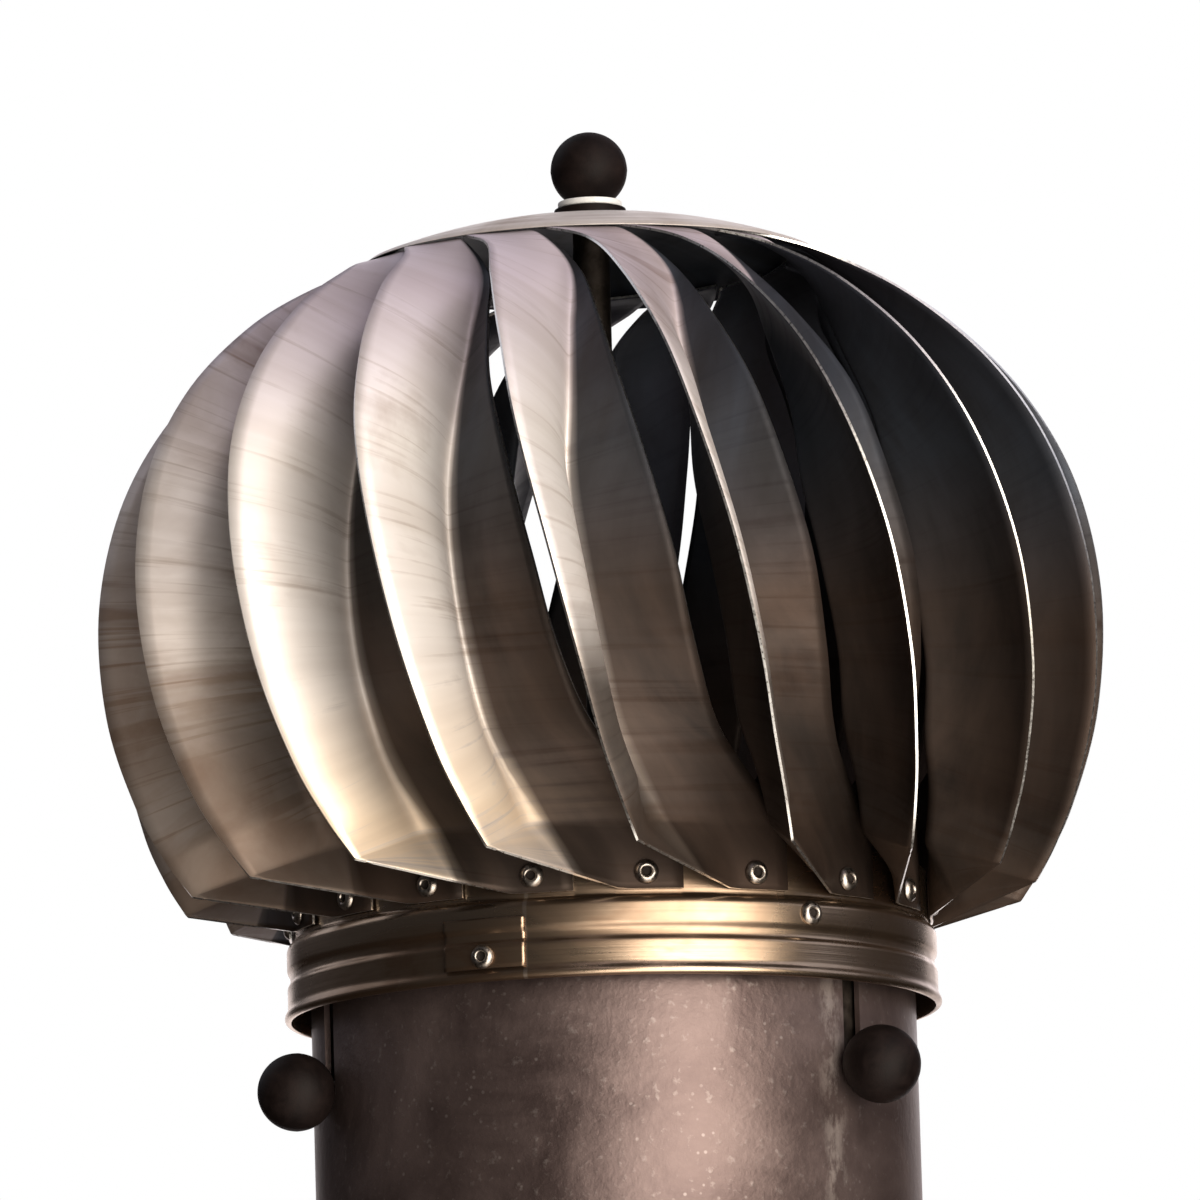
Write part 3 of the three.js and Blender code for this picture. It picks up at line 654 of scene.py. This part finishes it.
def foot_row(fold, v):
    """A row of the foot between its fold at v 0 and its lower line at v 1."""
    u = COLUMN_PLACE
    left = polar(TAB_RADIUS, TAB_LEFT_TURN, TAB_BOTTOM)
    share = np.interp(u, [0, 1, 2, 3], FOOT_EDGE_SHARES)
    free = fold[0] + (left - fold[0]) * share[:, None]
    arc = polar(TAB_RADIUS, np.interp(u, [3, 4], [TAB_LEFT_TURN, TAB_RIGHT_TURN]), TAB_BOTTOM)
    lower = np.where((u <= 3)[:, None], free, arc)
    flat = fold + (lower - fold) * v
    r0, r1 = np.hypot(fold[:, 0], fold[:, 1]), np.hypot(lower[:, 0], lower[:, 1])
    t0 = np.degrees(np.arctan2(fold[:, 0], -fold[:, 1]))
    t1 = np.degrees(np.arctan2(lower[:, 0], -lower[:, 1]))
    fall = (1 - v) ** 3
    height = fold[:, 2] + (lower[:, 2] - fold[:, 2]) * v
    round_neck = polar(r1 + (r0 - r1) * fall, t0 + (t1 - t0) * v, height)
    w = np.clip(u - 2, 0, 1)[:, None]
    w = w * w * (3 - 2 * w)
    return flat * (1 - w) + round_neck * w


def vane_grid():
    """Rows from the cap down to the foot of an unturned vane, and its uv in metres."""
    fold = fold_row()
    t_upper = np.concatenate(
        [np.linspace(1, FOLD_BLEND, TOP_ROWS), np.linspace(FOLD_BLEND, FOLD_SHARE, ROWS_TO_FOLD)[1:]]
    )
    e, c, l = (catmull(line, t_upper) for line in (EDGE_LINE, CREASE_LINE, LIP_LINE))
    rows = []
    for i, t in enumerate(t_upper):
        row = column_shares(polar(*e[i]), polar(*c[i]), polar(*l[i]))
        if t < FOLD_BLEND:
            plain = column_shares(polar(*EDGE_LINE[0]), polar(*CREASE_LINE[0]), polar(*LIP_LINE[0]))
            row = row + (fold - plain) * (1 - t / FOLD_BLEND)
        rows.append(row)
    above = rows[-1]
    below = foot_row(fold, FOOT_SHARE)
    for k in range(1, FOLD_STEPS):
        t = k / FOLD_STEPS
        rows.append((1 - t) ** 2 * above + 2 * t * (1 - t) * fold + t**2 * below)
    for v in np.linspace(FOOT_SHARE, 1, FOOT_ROWS):
        rows.append(foot_row(fold, v))
    grid = np.array(rows)
    along = np.concatenate([[0], np.cumsum(np.linalg.norm(np.diff(grid.mean(1), axis=0), axis=1))])
    steps = np.linalg.norm(np.diff(grid, axis=1), axis=2)
    across = np.concatenate([np.zeros((len(grid), 1)), np.cumsum(steps, axis=1)], 1)
    uv = np.stack([across, np.broadcast_to(along[:, None], across.shape)], -1) * MM
    return grid, uv


def undulate(grid, seed):
    """Slight unevenness of a hand-bent sheet, fading out at the foot and the cap."""
    draw = random.Random(seed)
    rows, cols = grid.shape[:2]
    v = np.linspace(0, 1, rows)[:, None]
    u = COLUMN_PLACE[None, :]
    wave = np.zeros((rows, cols))
    for _ in range(7):
        fu, fv = draw.uniform(0.1, 0.7), draw.uniform(1.0, 5.0)
        share = draw.uniform(0.4, 1.0)
        wave += share * np.sin(2 * math.pi * (fu * u / 2 + fv * v + draw.random())) / (1 + 0.25 * fv)
    calm = np.clip((v - 0.12) / 0.2, 0, 1) * np.clip((0.80 - v) / 0.12, 0, 1)
    return grid + grid_normals(grid) * (UNEVEN * wave * calm)[..., None]


# Tarnish of the vanes that show most, by number from 0, and of their lower half. The values are partly tarnish and
# partly painted light: a negative value is a painted highlight, a positive one painted shade.
TARNISH_AND_LIGHT = {13: 0.3, 14: 0.4, 15: 0.15, 16: -0.3, 17: -0.3, 0: -0.25, 1: 0.1}
LOW_TARNISH_AND_LIGHT = {13: 0.3, 14: 0.3, 15: 0.55, 16: -0.3, 17: -0.1, 0: 0.55}

# Painted shade on the lower part of the outer faces of the vanes that show most
LOW_PAINTED_SHADE = {13: 0.3, 14: 0.3, 15: 0.45, 0: 0.85, 1: 0.85, 2: 0.8, 3: 0.5}
OTHER_LOW_TARNISH = 0.2
FOOT_TARNISH = 0.5
# painted shade: the inner flange past the crease is made browner and rougher
INNER_PAINTED_DARKENING = 0.28
INSIDE_PAINTED_SHADE = 0.98
INNER_PAINTED_SHADE = 0.97
SEED_OF_MARKS = 900

# Millimetres: where each mark starts to come in, going down, and how far below it is full
FOOT_MARK = (138, 14)
LOW_MARK = (215, 60)
LOW_SHADE_MARK = (195, 30)


def below(z, mark):
    start, depth = mark
    return np.clip((start - z) / depth, 0, 1)


def vane_marks(grid, seed):
    """Tarnish, partly painted light on the vanes that show most, and painted shade. The painted shade is heavy on
    the side that faces the inside and on the inner flange.
    """
    draw = random.Random(SEED_OF_MARKS + seed)
    z = grid[..., 2]
    u = np.broadcast_to(COLUMN_PLACE[None, :], z.shape)
    foot, low = below(z, FOOT_MARK), below(z, LOW_MARK)
    inner = np.clip(u - 2, 0, 1)
    plain = draw.uniform(-0.12, 0.12)
    tarnish_and_light = foot * FOOT_TARNISH + inner * INNER_PAINTED_DARKENING + TARNISH_AND_LIGHT.get(seed, plain)
    tarnish_and_light = tarnish_and_light + low * LOW_TARNISH_AND_LIGHT.get(seed, OTHER_LOW_TARNISH)
    # painted shade on the inside face and on the inner flange past the crease
    inside = np.full(z.shape, INSIDE_PAINTED_SHADE) - 0.05 * foot
    outside = np.clip((u - 2) / 0.12, 0, 1) * INNER_PAINTED_SHADE
    # painted shade low on the outer faces of the vanes that show most
    outside = np.maximum(outside, LOW_PAINTED_SHADE.get(seed, 0) * below(z, LOW_SHADE_MARK))
    return {"tarnish_and_light": (tarnish_and_light, tarnish_and_light), "painted_shade": (inside, outside)}


BASE_GRID, BASE_UV = vane_grid()
for k in range(VANE_COUNT):
    angle = math.radians(VANE_FIRST_TURN + 360 / VANE_COUNT * k + HAND_SET[k % len(HAND_SET)])
    turned = undulate(BASE_GRID, k) @ np.array(Matrix.Rotation(angle, 3, "Z")).T
    uv = BASE_UV + np.array([0.37 * k, 0.53 * k])
    marks = vane_marks(BASE_GRID, k)
    vane = sheet_mesh(f"vane_sheet_{k + 1:02d}", turned, VANE_SHEET, "rotor", uv, marks)
    dress(vane, "vane_steel", VANE, EDGE)
    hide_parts(f"vane_{k + 1:02d}")


# ---- collar and lap ----
def band_side(out):
    return [
        [BAND_RADIUS + out, LIP_HEIGHT + BEAD_SLOPE],
        [BAND_RADIUS + out, BEAD_LOW],
        [BAND_RADIUS - BEAD_DEPTH + out, BEAD_LOW + BEAD_SLOPE],
        [BAND_RADIUS - BEAD_DEPTH + out, BEAD_HIGH - BEAD_SLOPE],
        [BAND_RADIUS + out, BEAD_HIGH],
        [BAND_RADIUS + out, BAND_HEIGHT - BAND_STEP],
    ]


def unroll(obj):
    """uv in metres: round the axis, and along the profile's height and radius."""
    n = len(obj.data.vertices)
    co = np.empty(n * 3)
    obj.data.vertices.foreach_get("co", co)
    co = co.reshape(-1, 3)
    turn = np.arctan2(co[:, 0], -co[:, 1])
    r = np.hypot(co[:, 0], co[:, 1])
    set_corner_uv(obj.data, np.stack([turn * UNROLLED, co[:, 2] + 0.7 * r], 1))


def out_of_round(r, z, turns):
    """A rolled band is never quite even."""
    t = np.radians(turns)
    wave = 0.12 * np.sin(3 * t + 0.7) + 0.07 * np.sin(7 * t + 2.1) + 0.04 * np.sin(13 * t)
    if r < BAND_RADIUS - 2:  # the neck stays round
        wave = 0 * wave
    return wave, 0 * wave


inner_side = [[r, z] for r, z in reversed(band_side(-COLLAR_SHEET))]
collar_profile = [
    [BAND_RADIUS, 0],
    [BAND_RADIUS + LIP_PROUD, 0.8],
    [BAND_RADIUS + LIP_PROUD, 2.2],
    *band_side(0),
    [NECK_RADIUS + 1.6, BAND_HEIGHT - 0.8],
    [NECK_RADIUS, BAND_HEIGHT],
    [NECK_RADIUS, NECK_TOP, 0.3],
    [NECK_RADIUS - COLLAR_SHEET, NECK_TOP, 0.3],
    [NECK_RADIUS - COLLAR_SHEET, BAND_HEIGHT - COLLAR_SHEET],
    *inner_side,
    [BAND_RADIUS - COLLAR_SHEET, 0],
]
ring = rounded(collar_profile, 1.2)
collar = lathe("collar_band", ring + [0, COLLAR_BASE], 180, "rotor", out_of_round)
unroll(collar)
dress(collar, "band_steel", BAND)
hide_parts("collar")

lap_out = LAP_GAP + LAP_SHEET / 2
lap_side = [*band_side(lap_out)[:-1], [BAND_RADIUS + lap_out, LAP_TOP]]
lap_line = []
for (r0, z0), (r1, z1) in zip(lap_side[:-1], lap_side[1:]):
    for t in np.linspace(0, 1, 6)[:-1]:
        lap_line.append([r0 + (r1 - r0) * t, z0 + (z1 - z0) * t])
lap_line.append(lap_side[-1])
lap_line = np.array(lap_line)
lap_turns = LAP_TURN + LAP_WIDTH * np.linspace(-0.5, 0.5, 25)
lap_grid = np.array([polar(lap_line[:, 0], t, COLLAR_BASE + lap_line[:, 1]) for t in lap_turns])
lap_uv = np.stack(
    [
        np.broadcast_to(np.radians(lap_turns)[:, None] * UNROLLED, lap_grid.shape[:2]),
        np.broadcast_to(lap_line[None, :, 1] * MM, lap_grid.shape[:2]),
    ],
    -1,
)
lap = sheet_mesh("lap_strip", lap_grid, LAP_SHEET, "rotor", lap_uv, {})
# the lap's cut edges take the near-black painted shade
dress(lap, "band_steel", LAP, HOLE_SHADE)
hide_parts("collar_lap")

# ---- cap and finial ----
CAP_TAPER = 3.0  # the cap thins toward its rim over this width
CAP_RIM_SHARE = 0.3
cap_sphere = (CAP_RADIUS**2 + CAP_RISE**2) / (2 * CAP_RISE)
contact = in_ball(envelope(CAP_CONTACT_ANGLE), CAP_CONTACT_ANGLE, 0)
cap_seat = contact[2] + VANE_SHEET / 2 + TOUCH_GAP


def dome(radius):
    return math.sqrt(cap_sphere**2 - radius**2)


def cap_underside(radius):
    return cap_seat + dome(radius) - dome(min(CAP_RADIUS, contact[0]))


cap_bore = SPINDLE_RADIUS + TOUCH_GAP
cap_radii = [*np.linspace(cap_bore, CAP_RADIUS - CAP_TAPER, 26), CAP_RADIUS - 2, CAP_RADIUS - 1, CAP_RADIUS]
cap_under = [[r, cap_underside(r)] for r in cap_radii]
cap_over = [
    [r, z + CAP_SHEET * min(1, CAP_RIM_SHARE + (CAP_RADIUS - r) / CAP_TAPER)] for r, z in reversed(cap_under)
]
cap = lathe("cap_dome", np.array(cap_under + cap_over), 144, "rotor")
sharpen(cap, 40)
unroll(cap)
set_value(cap.data, "tarnish_and_light", np.zeros(len(cap.data.vertices)))
# painted shade: the cap's underside gets the full near-black shade colour, its top none
above = [v.co.z / MM > cap_underside(math.hypot(v.co.x, v.co.y) / MM) + 0.15 for v in cap.data.vertices]
set_value(cap.data, "painted_shade", np.where(above, 0.0, 1.0))
dress(cap, "vane_steel", CAP)
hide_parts("top_cap")


def ring_profile(inner, outer, low, high):
    return [[inner, low], [outer, low], [outer, high], [inner, high]]


disc_base = cap_underside(cap_bore) + CAP_SHEET + TOUCH_GAP
washer_base = disc_base + DISC_THICKNESS + TOUCH_GAP
finial_base = washer_base + WASHER_THICKNESS + TOUCH_GAP
disc_ring = rounded(ring_profile(cap_bore, DISC_RADIUS, disc_base, disc_base + DISC_THICKNESS), 0.5)
disc = lathe("seal_disc", disc_ring, 72, "rotor")
dress(disc, "knob_plastic", KNOB)
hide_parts("finial_disc")
washer_ring = rounded(ring_profile(cap_bore, WASHER_RADIUS, washer_base, washer_base + WASHER_THICKNESS), 0.6)
washer = lathe("pale_washer", washer_ring, 72, "rotor")
dress(washer, "zinc", ZINC)
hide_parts("finial_washer")


def ball_profile(ball, flat, rings=36, seam=0.12):
    """Ball on a flat, with a faint mould line round its middle."""
    start = math.asin(flat / ball)
    centre = ball * math.cos(start)
    profile = [[0, 0], [flat - 0.5, 0]]
    for i in range(rings + 1):
        a = start + 0.04 + (math.pi - start - 0.04) * i / rings
        r = 0 if i == rings else ball * math.sin(a)
        r += seam * math.exp(-(((a - math.pi / 2) / 0.03) ** 2)) * (r > 0)
        profile.append([r, centre - ball * math.cos(a)])
    return np.array(profile)


finial = lathe("finial_ball", ball_profile(FINIAL_BALL_RADIUS, FINIAL_FLAT_RADIUS) + [0, finial_base], 72, "rotor")
dress(finial, "knob_plastic", KNOB)
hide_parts("finial_knob")

spindle_low, spindle_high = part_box("spindle")
spindle_profile = [
    [0, spindle_low[2] / MM],
    [SPINDLE_RADIUS, spindle_low[2] / MM],
    [SPINDLE_RADIUS, spindle_high[2] / MM],
    [0, spindle_high[2] / MM],
]
spindle = lathe("spindle_rod", spindle_profile, 48, "rotor")
sharpen(spindle, 40)
dress(spindle, "inner_steel", HIDDEN)
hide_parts("spindle")

# ---- rivets: domed heads with an open middle, painted near black as shade ----
RIVET_PROFILE = [
    [0, 0.35],
    [0.8, 0.35],
    [1.35, 0.4],
    [1.5, 1.0],
    [1.62, 1.5],
    [1.95, 1.76],
    [2.4, 1.78],
    [3.0, 1.5],
    [3.6, 0.95],
    [3.9, 0.4],
    [4.0, 0.12],
    [3.95, 0.0],
    [0, 0],
]
HOLE_RADIUS = 1.45 * 1.06
HOLE_LOW = 0.2


def in_hole(mesh, polygon):
    corners = [mesh.vertices[i].co for i in polygon.vertices]
    return max(math.hypot(*c.xy) for c in corners) < HOLE_RADIUS * MM and min(c.z for c in corners) > HOLE_LOW * MM


def rivet(name, node, radius, height, turn, tilt):
    obj = lathe(name, RIVET_PROFILE[::-1], 36, "rotor")
    mesh = obj.data
    inside = [in_hole(mesh, p) for p in mesh.polygons]
    mesh.polygons.foreach_set("material_index", np.array(inside, int))
    mesh.transform(Matrix.Rotation(tilt, 4, "Z"))
    lay_outward(obj, radius, height, turn)
    dress(obj, "rivet_steel", RIVET, HOLE_SHADE)
    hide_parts(node)


draw = random.Random(41)
vane_rivet_base = TAB_RADIUS + VANE_SHEET / 2 + TOUCH_GAP
for k in range(VANE_COUNT):
    turn = VANE_FIRST_TURN + 360 / VANE_COUNT * k + VANE_RIVET_TURN
    names = f"rivet_head_{k + 1:02d}", f"vane_rivet_{k + 1:02d}"
    rivet(*names, vane_rivet_base, VANE_RIVET_HEIGHT, turn, draw.uniform(0, 6))
lap_rivet_base = BAND_RADIUS + LAP_GAP + LAP_SHEET + TOUCH_GAP
rivet("lap_rivet_head", "lap_rivet", lap_rivet_base, LAP_RIVET_HEIGHT, LAP_TURN, 1.0)
rivet("band_rivet_head", "band_rivet", BAND_RADIUS + TOUCH_GAP, BAND_RIVET_HEIGHT, BAND_RIVET_TURN, 2.0)

# ---- fixed pieces ----
sleeve_ring = rounded(ring_profile(SLEEVE_RADIUS - SLEEVE_WALL, SLEEVE_RADIUS, 0, SLEEVE_TOP), 0.35, 2)
sleeve = lathe("flue_tube", sleeve_ring, 192, "stator")


def slot_outline():
    half = SCREW_RADIUS + TOUCH_GAP
    angles = np.linspace(math.pi, 2 * math.pi, 17)
    points = [(half * math.cos(a), KNOB_HEIGHT + half * math.sin(a)) for a in angles]
    return points + [(half, SLEEVE_TOP + 5), (-half, SLEEVE_TOP + 5)]


def slot_prism(turn):
    outline = slot_outline()
    count = len(outline)
    near, far = SLEEVE_RADIUS - 8, SLEEVE_RADIUS + 8
    spin = Matrix.Rotation(math.radians(turn), 4, "Z")
    verts = [spin @ Vector((x, -r, z)) * MM for r in (near, far) for x, z in outline]
    faces = [list(range(count))[::-1], list(range(count, 2 * count))]
    faces += [[i, (i + 1) % count, (i + 1) % count + count, i + count] for i in range(count)]
    mesh = bpy.data.meshes.new("slot_cutter")
    mesh.from_pydata([tuple(v) for v in verts], [], faces)
    obj = bpy.data.objects.new("slot_cutter", mesh)
    bpy.context.scene.collection.objects.link(obj)
    return obj


for turn in KNOB_TURNS:
    tool = slot_prism(turn)
    cut = sleeve.modifiers.new("slot", "BOOLEAN")
    cut.operation, cut.solver, cut.object = "DIFFERENCE", "EXACT", tool
    evaluated = sleeve.evaluated_get(bpy.context.evaluated_depsgraph_get())
    made = bpy.data.meshes.new_from_object(evaluated)
    sleeve.modifiers.clear()
    sleeve.data = made
    bpy.data.objects.remove(tool)
sharpen(sleeve, 35)
dress(sleeve, "sleeve_steel", SLEEVE)
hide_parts("flue_sleeve")

knob_flat = SLEEVE_RADIUS + KNOB_STANDOFF
screw_tip = SLEEVE_RADIUS - SCREW_TIP_DEPTH
screw_length = knob_flat - TOUCH_GAP - screw_tip
THREAD_PITCH = 1.25
THREAD_DEPTH = 0.55
for k, turn in enumerate(KNOB_TURNS):
    knob = lathe(f"knob_ball_{k + 1:02d}", ball_profile(KNOB_BALL_RADIUS, KNOB_FLAT_RADIUS), 72, "stator")
    lay_outward(knob, knob_flat, KNOB_HEIGHT, turn)
    dress(knob, "knob_plastic", KNOB)
    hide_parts(f"clamp_knob_{k + 1:02d}")
    thread = [[0, 0], [SCREW_RADIUS - 0.8, 0]]
    for i in range(int(screw_length / THREAD_PITCH)):
        for share, cut in ((0.12, THREAD_DEPTH), (0.5, 0), (0.88, THREAD_DEPTH)):
            thread.append([SCREW_RADIUS - cut, (i + share) * THREAD_PITCH + 0.2])
    thread += [[SCREW_RADIUS - THREAD_DEPTH, screw_length], [0, screw_length]]
    screw = lathe(f"screw_rod_{k + 1:02d}", thread, 36, "stator")
    sharpen(screw, 50)
    lay_outward(screw, screw_tip, KNOB_HEIGHT, turn)
    dress(screw, "rivet_steel", RIVET)
    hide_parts(f"clamp_screw_{k + 1:02d}")

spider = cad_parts["spindle_spider"]
spider.data.materials.clear()
spider.data.materials.append(HIDDEN)

# ---- floor ----
FLOOR_HALF = 4.0
FLOOR_COLOUR = rgb(0.82, 0.81, 0.80)
mesh = bpy.data.meshes.new("floor")
corners = ((-1, -1), (1, -1), (1, 1), (-1, 1))
mesh.from_pydata([(x * FLOOR_HALF, y * FLOOR_HALF, 0) for x, y in corners], [], [(0, 1, 2, 3)])
floor = bpy.data.objects.new("floor", mesh)
bpy.context.scene.collection.objects.link(floor)
floor_shader = bpy.data.materials.new("pale_floor")
floor_shader.use_nodes = True
tree = floor_shader.node_tree
tree.nodes.clear()
side = tree.nodes.new("ShaderNodeNewGeometry")
pale = tree.nodes.new("ShaderNodeBsdfPrincipled")
pale.inputs["Base Color"].default_value = FLOOR_COLOUR
pale.inputs["Roughness"].default_value = 0.9
pale.inputs["Emission Color"].default_value = FLOOR_COLOUR
pale.inputs["Emission Strength"].default_value = 0.45
clear = tree.nodes.new("ShaderNodeBsdfTransparent")
mix = tree.nodes.new("ShaderNodeMixShader")
output = tree.nodes.new("ShaderNodeOutputMaterial")
tree.links.new(side.outputs["Backfacing"], mix.inputs["Fac"])
tree.links.new(pale.outputs[0], mix.inputs[1])
tree.links.new(clear.outputs[0], mix.inputs[2])
tree.links.new(mix.outputs[0], output.inputs["Surface"])
mesh.materials.append(floor_shader)
floor.visible_glossy = False
floor.visible_shadow = False
floor.visible_diffuse = False


# ---- light ----
# Soft suns: warm ones low in front and to the right, faint cool ones above and behind. Their
# directions and strengths are fitted to the photograph's tones, and the real light isn't known.
# Directions are a turn from the camera's side and an elevation, in degrees.
def direction(turn, elevation):
    t, e = math.radians(turn), math.radians(elevation)
    return Vector((math.sin(t) * math.cos(e), -math.cos(t) * math.cos(e), math.sin(e)))


# Name, turn, elevation, angular size, strength, colour
LAMPS = [
    ("key", 31, 16, 40, 1.8, (1.0, 0.94, 0.84)),
    ("front", 20, -12, 50, 2.3, (1.0, 0.94, 0.85)),
    ("bounce", 20, -38, 50, 1.2, (1.0, 0.94, 0.86)),
    ("ground", 27, -64, 50, 0.5, (1.0, 0.90, 0.80)),
    ("low_right", 44, -2, 30, 0.6, (1.0, 0.90, 0.76)),
    ("front_sky", 16, 47, 40, 0.2, (0.94, 0.84, 0.94)),
    ("right_sky", 82, 34, 44, 0.3, (0.80, 0.84, 1.0)),
    ("top_sky", 60, 58, 50, 0.22, (0.90, 0.86, 1.0)),
    ("left_sky", -130, 38, 44, 0.35, (0.88, 0.90, 1.0)),
    ("rear", 176, 0, 50, 0.8, (1.0, 0.92, 0.92)),
    ("rear_sky", 168, 30, 44, 0.3, (0.95, 0.90, 1.0)),
]
for name, turn, elevation, size, strength, colour in LAMPS:
    lamp = bpy.data.lights.new(name, "SUN")
    lamp.energy, lamp.color, lamp.angle = strength, colour, math.radians(size)
    holder = bpy.data.objects.new(name, lamp)
    holder.rotation_mode = "QUATERNION"
    holder.rotation_quaternion = direction(turn, elevation).to_track_quat("Z", "Y")
    bpy.context.scene.collection.objects.link(holder)

# Turn, elevation, inner and outer half width, lower edge's elevation and its softness, colour
GLOWS = [
    (100, 40, 40, 75, -4, 14, (0.025, 0.025, 0.03)),
    (180, 30, 30, 70, 2, 12, (0.08, 0.08, 0.09)),
    (0, 90, 12, 60, 0, 5, (0.06, 0.06, 0.07)),
    (-80, 16, 30, 70, -20, 30, (0.02, 0.025, 0.03)),
]
AMBIENT = (0.022, 0.017, 0.015)

world = bpy.data.worlds.new("studio")
bpy.context.scene.world = world
world.use_nodes = True
tree = world.node_tree
tree.nodes.clear()
coords = tree.nodes.new("ShaderNodeTexCoord")


def along(vector):
    node = tree.nodes.new("ShaderNodeVectorMath")
    node.operation = "DOT_PRODUCT"
    tree.links.new(coords.outputs["Generated"], node.inputs[0])
    node.inputs[1].default_value = vector
    return node.outputs["Value"]


def soft_step(value, low, high):
    node = tree.nodes.new("ShaderNodeMapRange")
    node.interpolation_type = "SMOOTHSTEP"
    tree.links.new(value, node.inputs["Value"])
    node.inputs["From Min"].default_value = low
    node.inputs["From Max"].default_value = high
    return node.outputs["Result"]


def times(a, b):
    node = tree.nodes.new("ShaderNodeMath")
    node.operation = "MULTIPLY"
    tree.links.new(a, node.inputs[0])
    tree.links.new(b, node.inputs[1])
    return node.outputs[0]


def background(colour, strength=None):
    node = tree.nodes.new("ShaderNodeBackground")
    node.inputs["Color"].default_value = rgb(*colour)
    if strength is not None:
        tree.links.new(strength, node.inputs["Strength"])
    return node.outputs[0]


def joined(kind, a, b):
    node = tree.nodes.new(kind)
    first = 1 if kind == "ShaderNodeMixShader" else 0
    tree.links.new(a, node.inputs[first])
    tree.links.new(b, node.inputs[first + 1])
    return node


lit = background(AMBIENT)
for turn, elevation, inner, outer, edge, soft, colour in GLOWS:
    wide, narrow = math.cos(math.radians(outer)), math.cos(math.radians(inner))
    share = soft_step(along(direction(turn, elevation)), wide, narrow)
    start, full = math.sin(math.radians(edge)), math.sin(math.radians(edge + soft))
    above = soft_step(along(Vector((0, 0, 1))), start, full)
    lit = joined("ShaderNodeAddShader", lit, background(colour, times(share, above))).outputs[0]
path = tree.nodes.new("ShaderNodeLightPath")
shown = joined("ShaderNodeMixShader", lit, background((1, 1, 1)))
tree.links.new(path.outputs["Is Camera Ray"], shown.inputs["Fac"])
output = tree.nodes.new("ShaderNodeOutputWorld")
tree.links.new(shown.outputs[0], output.inputs["Surface"])
bpy.context.scene.view_settings.view_transform = "Standard"

# ---- camera, from below and level in azimuth ----
CAMERA_DISTANCE = 4.0
CAMERA_ELEVATION = -9.05
CAMERA_ROLL = -1.69
CAMERA_TARGET = Vector((-0.00051, 0, 0.21735))
data = bpy.data.cameras.new("camera")
data.sensor_width = 36.0
data.lens = 360.87
data.clip_start, data.clip_end = 0.1, 100
camera = bpy.data.objects.new("camera", data)
bpy.context.scene.collection.objects.link(camera)
e = math.radians(CAMERA_ELEVATION)
back = Vector((0, -math.cos(e), math.sin(e)))
camera.location = CAMERA_TARGET + back * CAMERA_DISTANCE
look = (-back).to_track_quat("-Z", "Y")
roll = Matrix.Rotation(math.radians(CAMERA_ROLL), 3, "Z").to_quaternion()
camera.rotation_mode = "QUATERNION"
camera.rotation_quaternion = look @ roll
bpy.context.scene.camera = camera
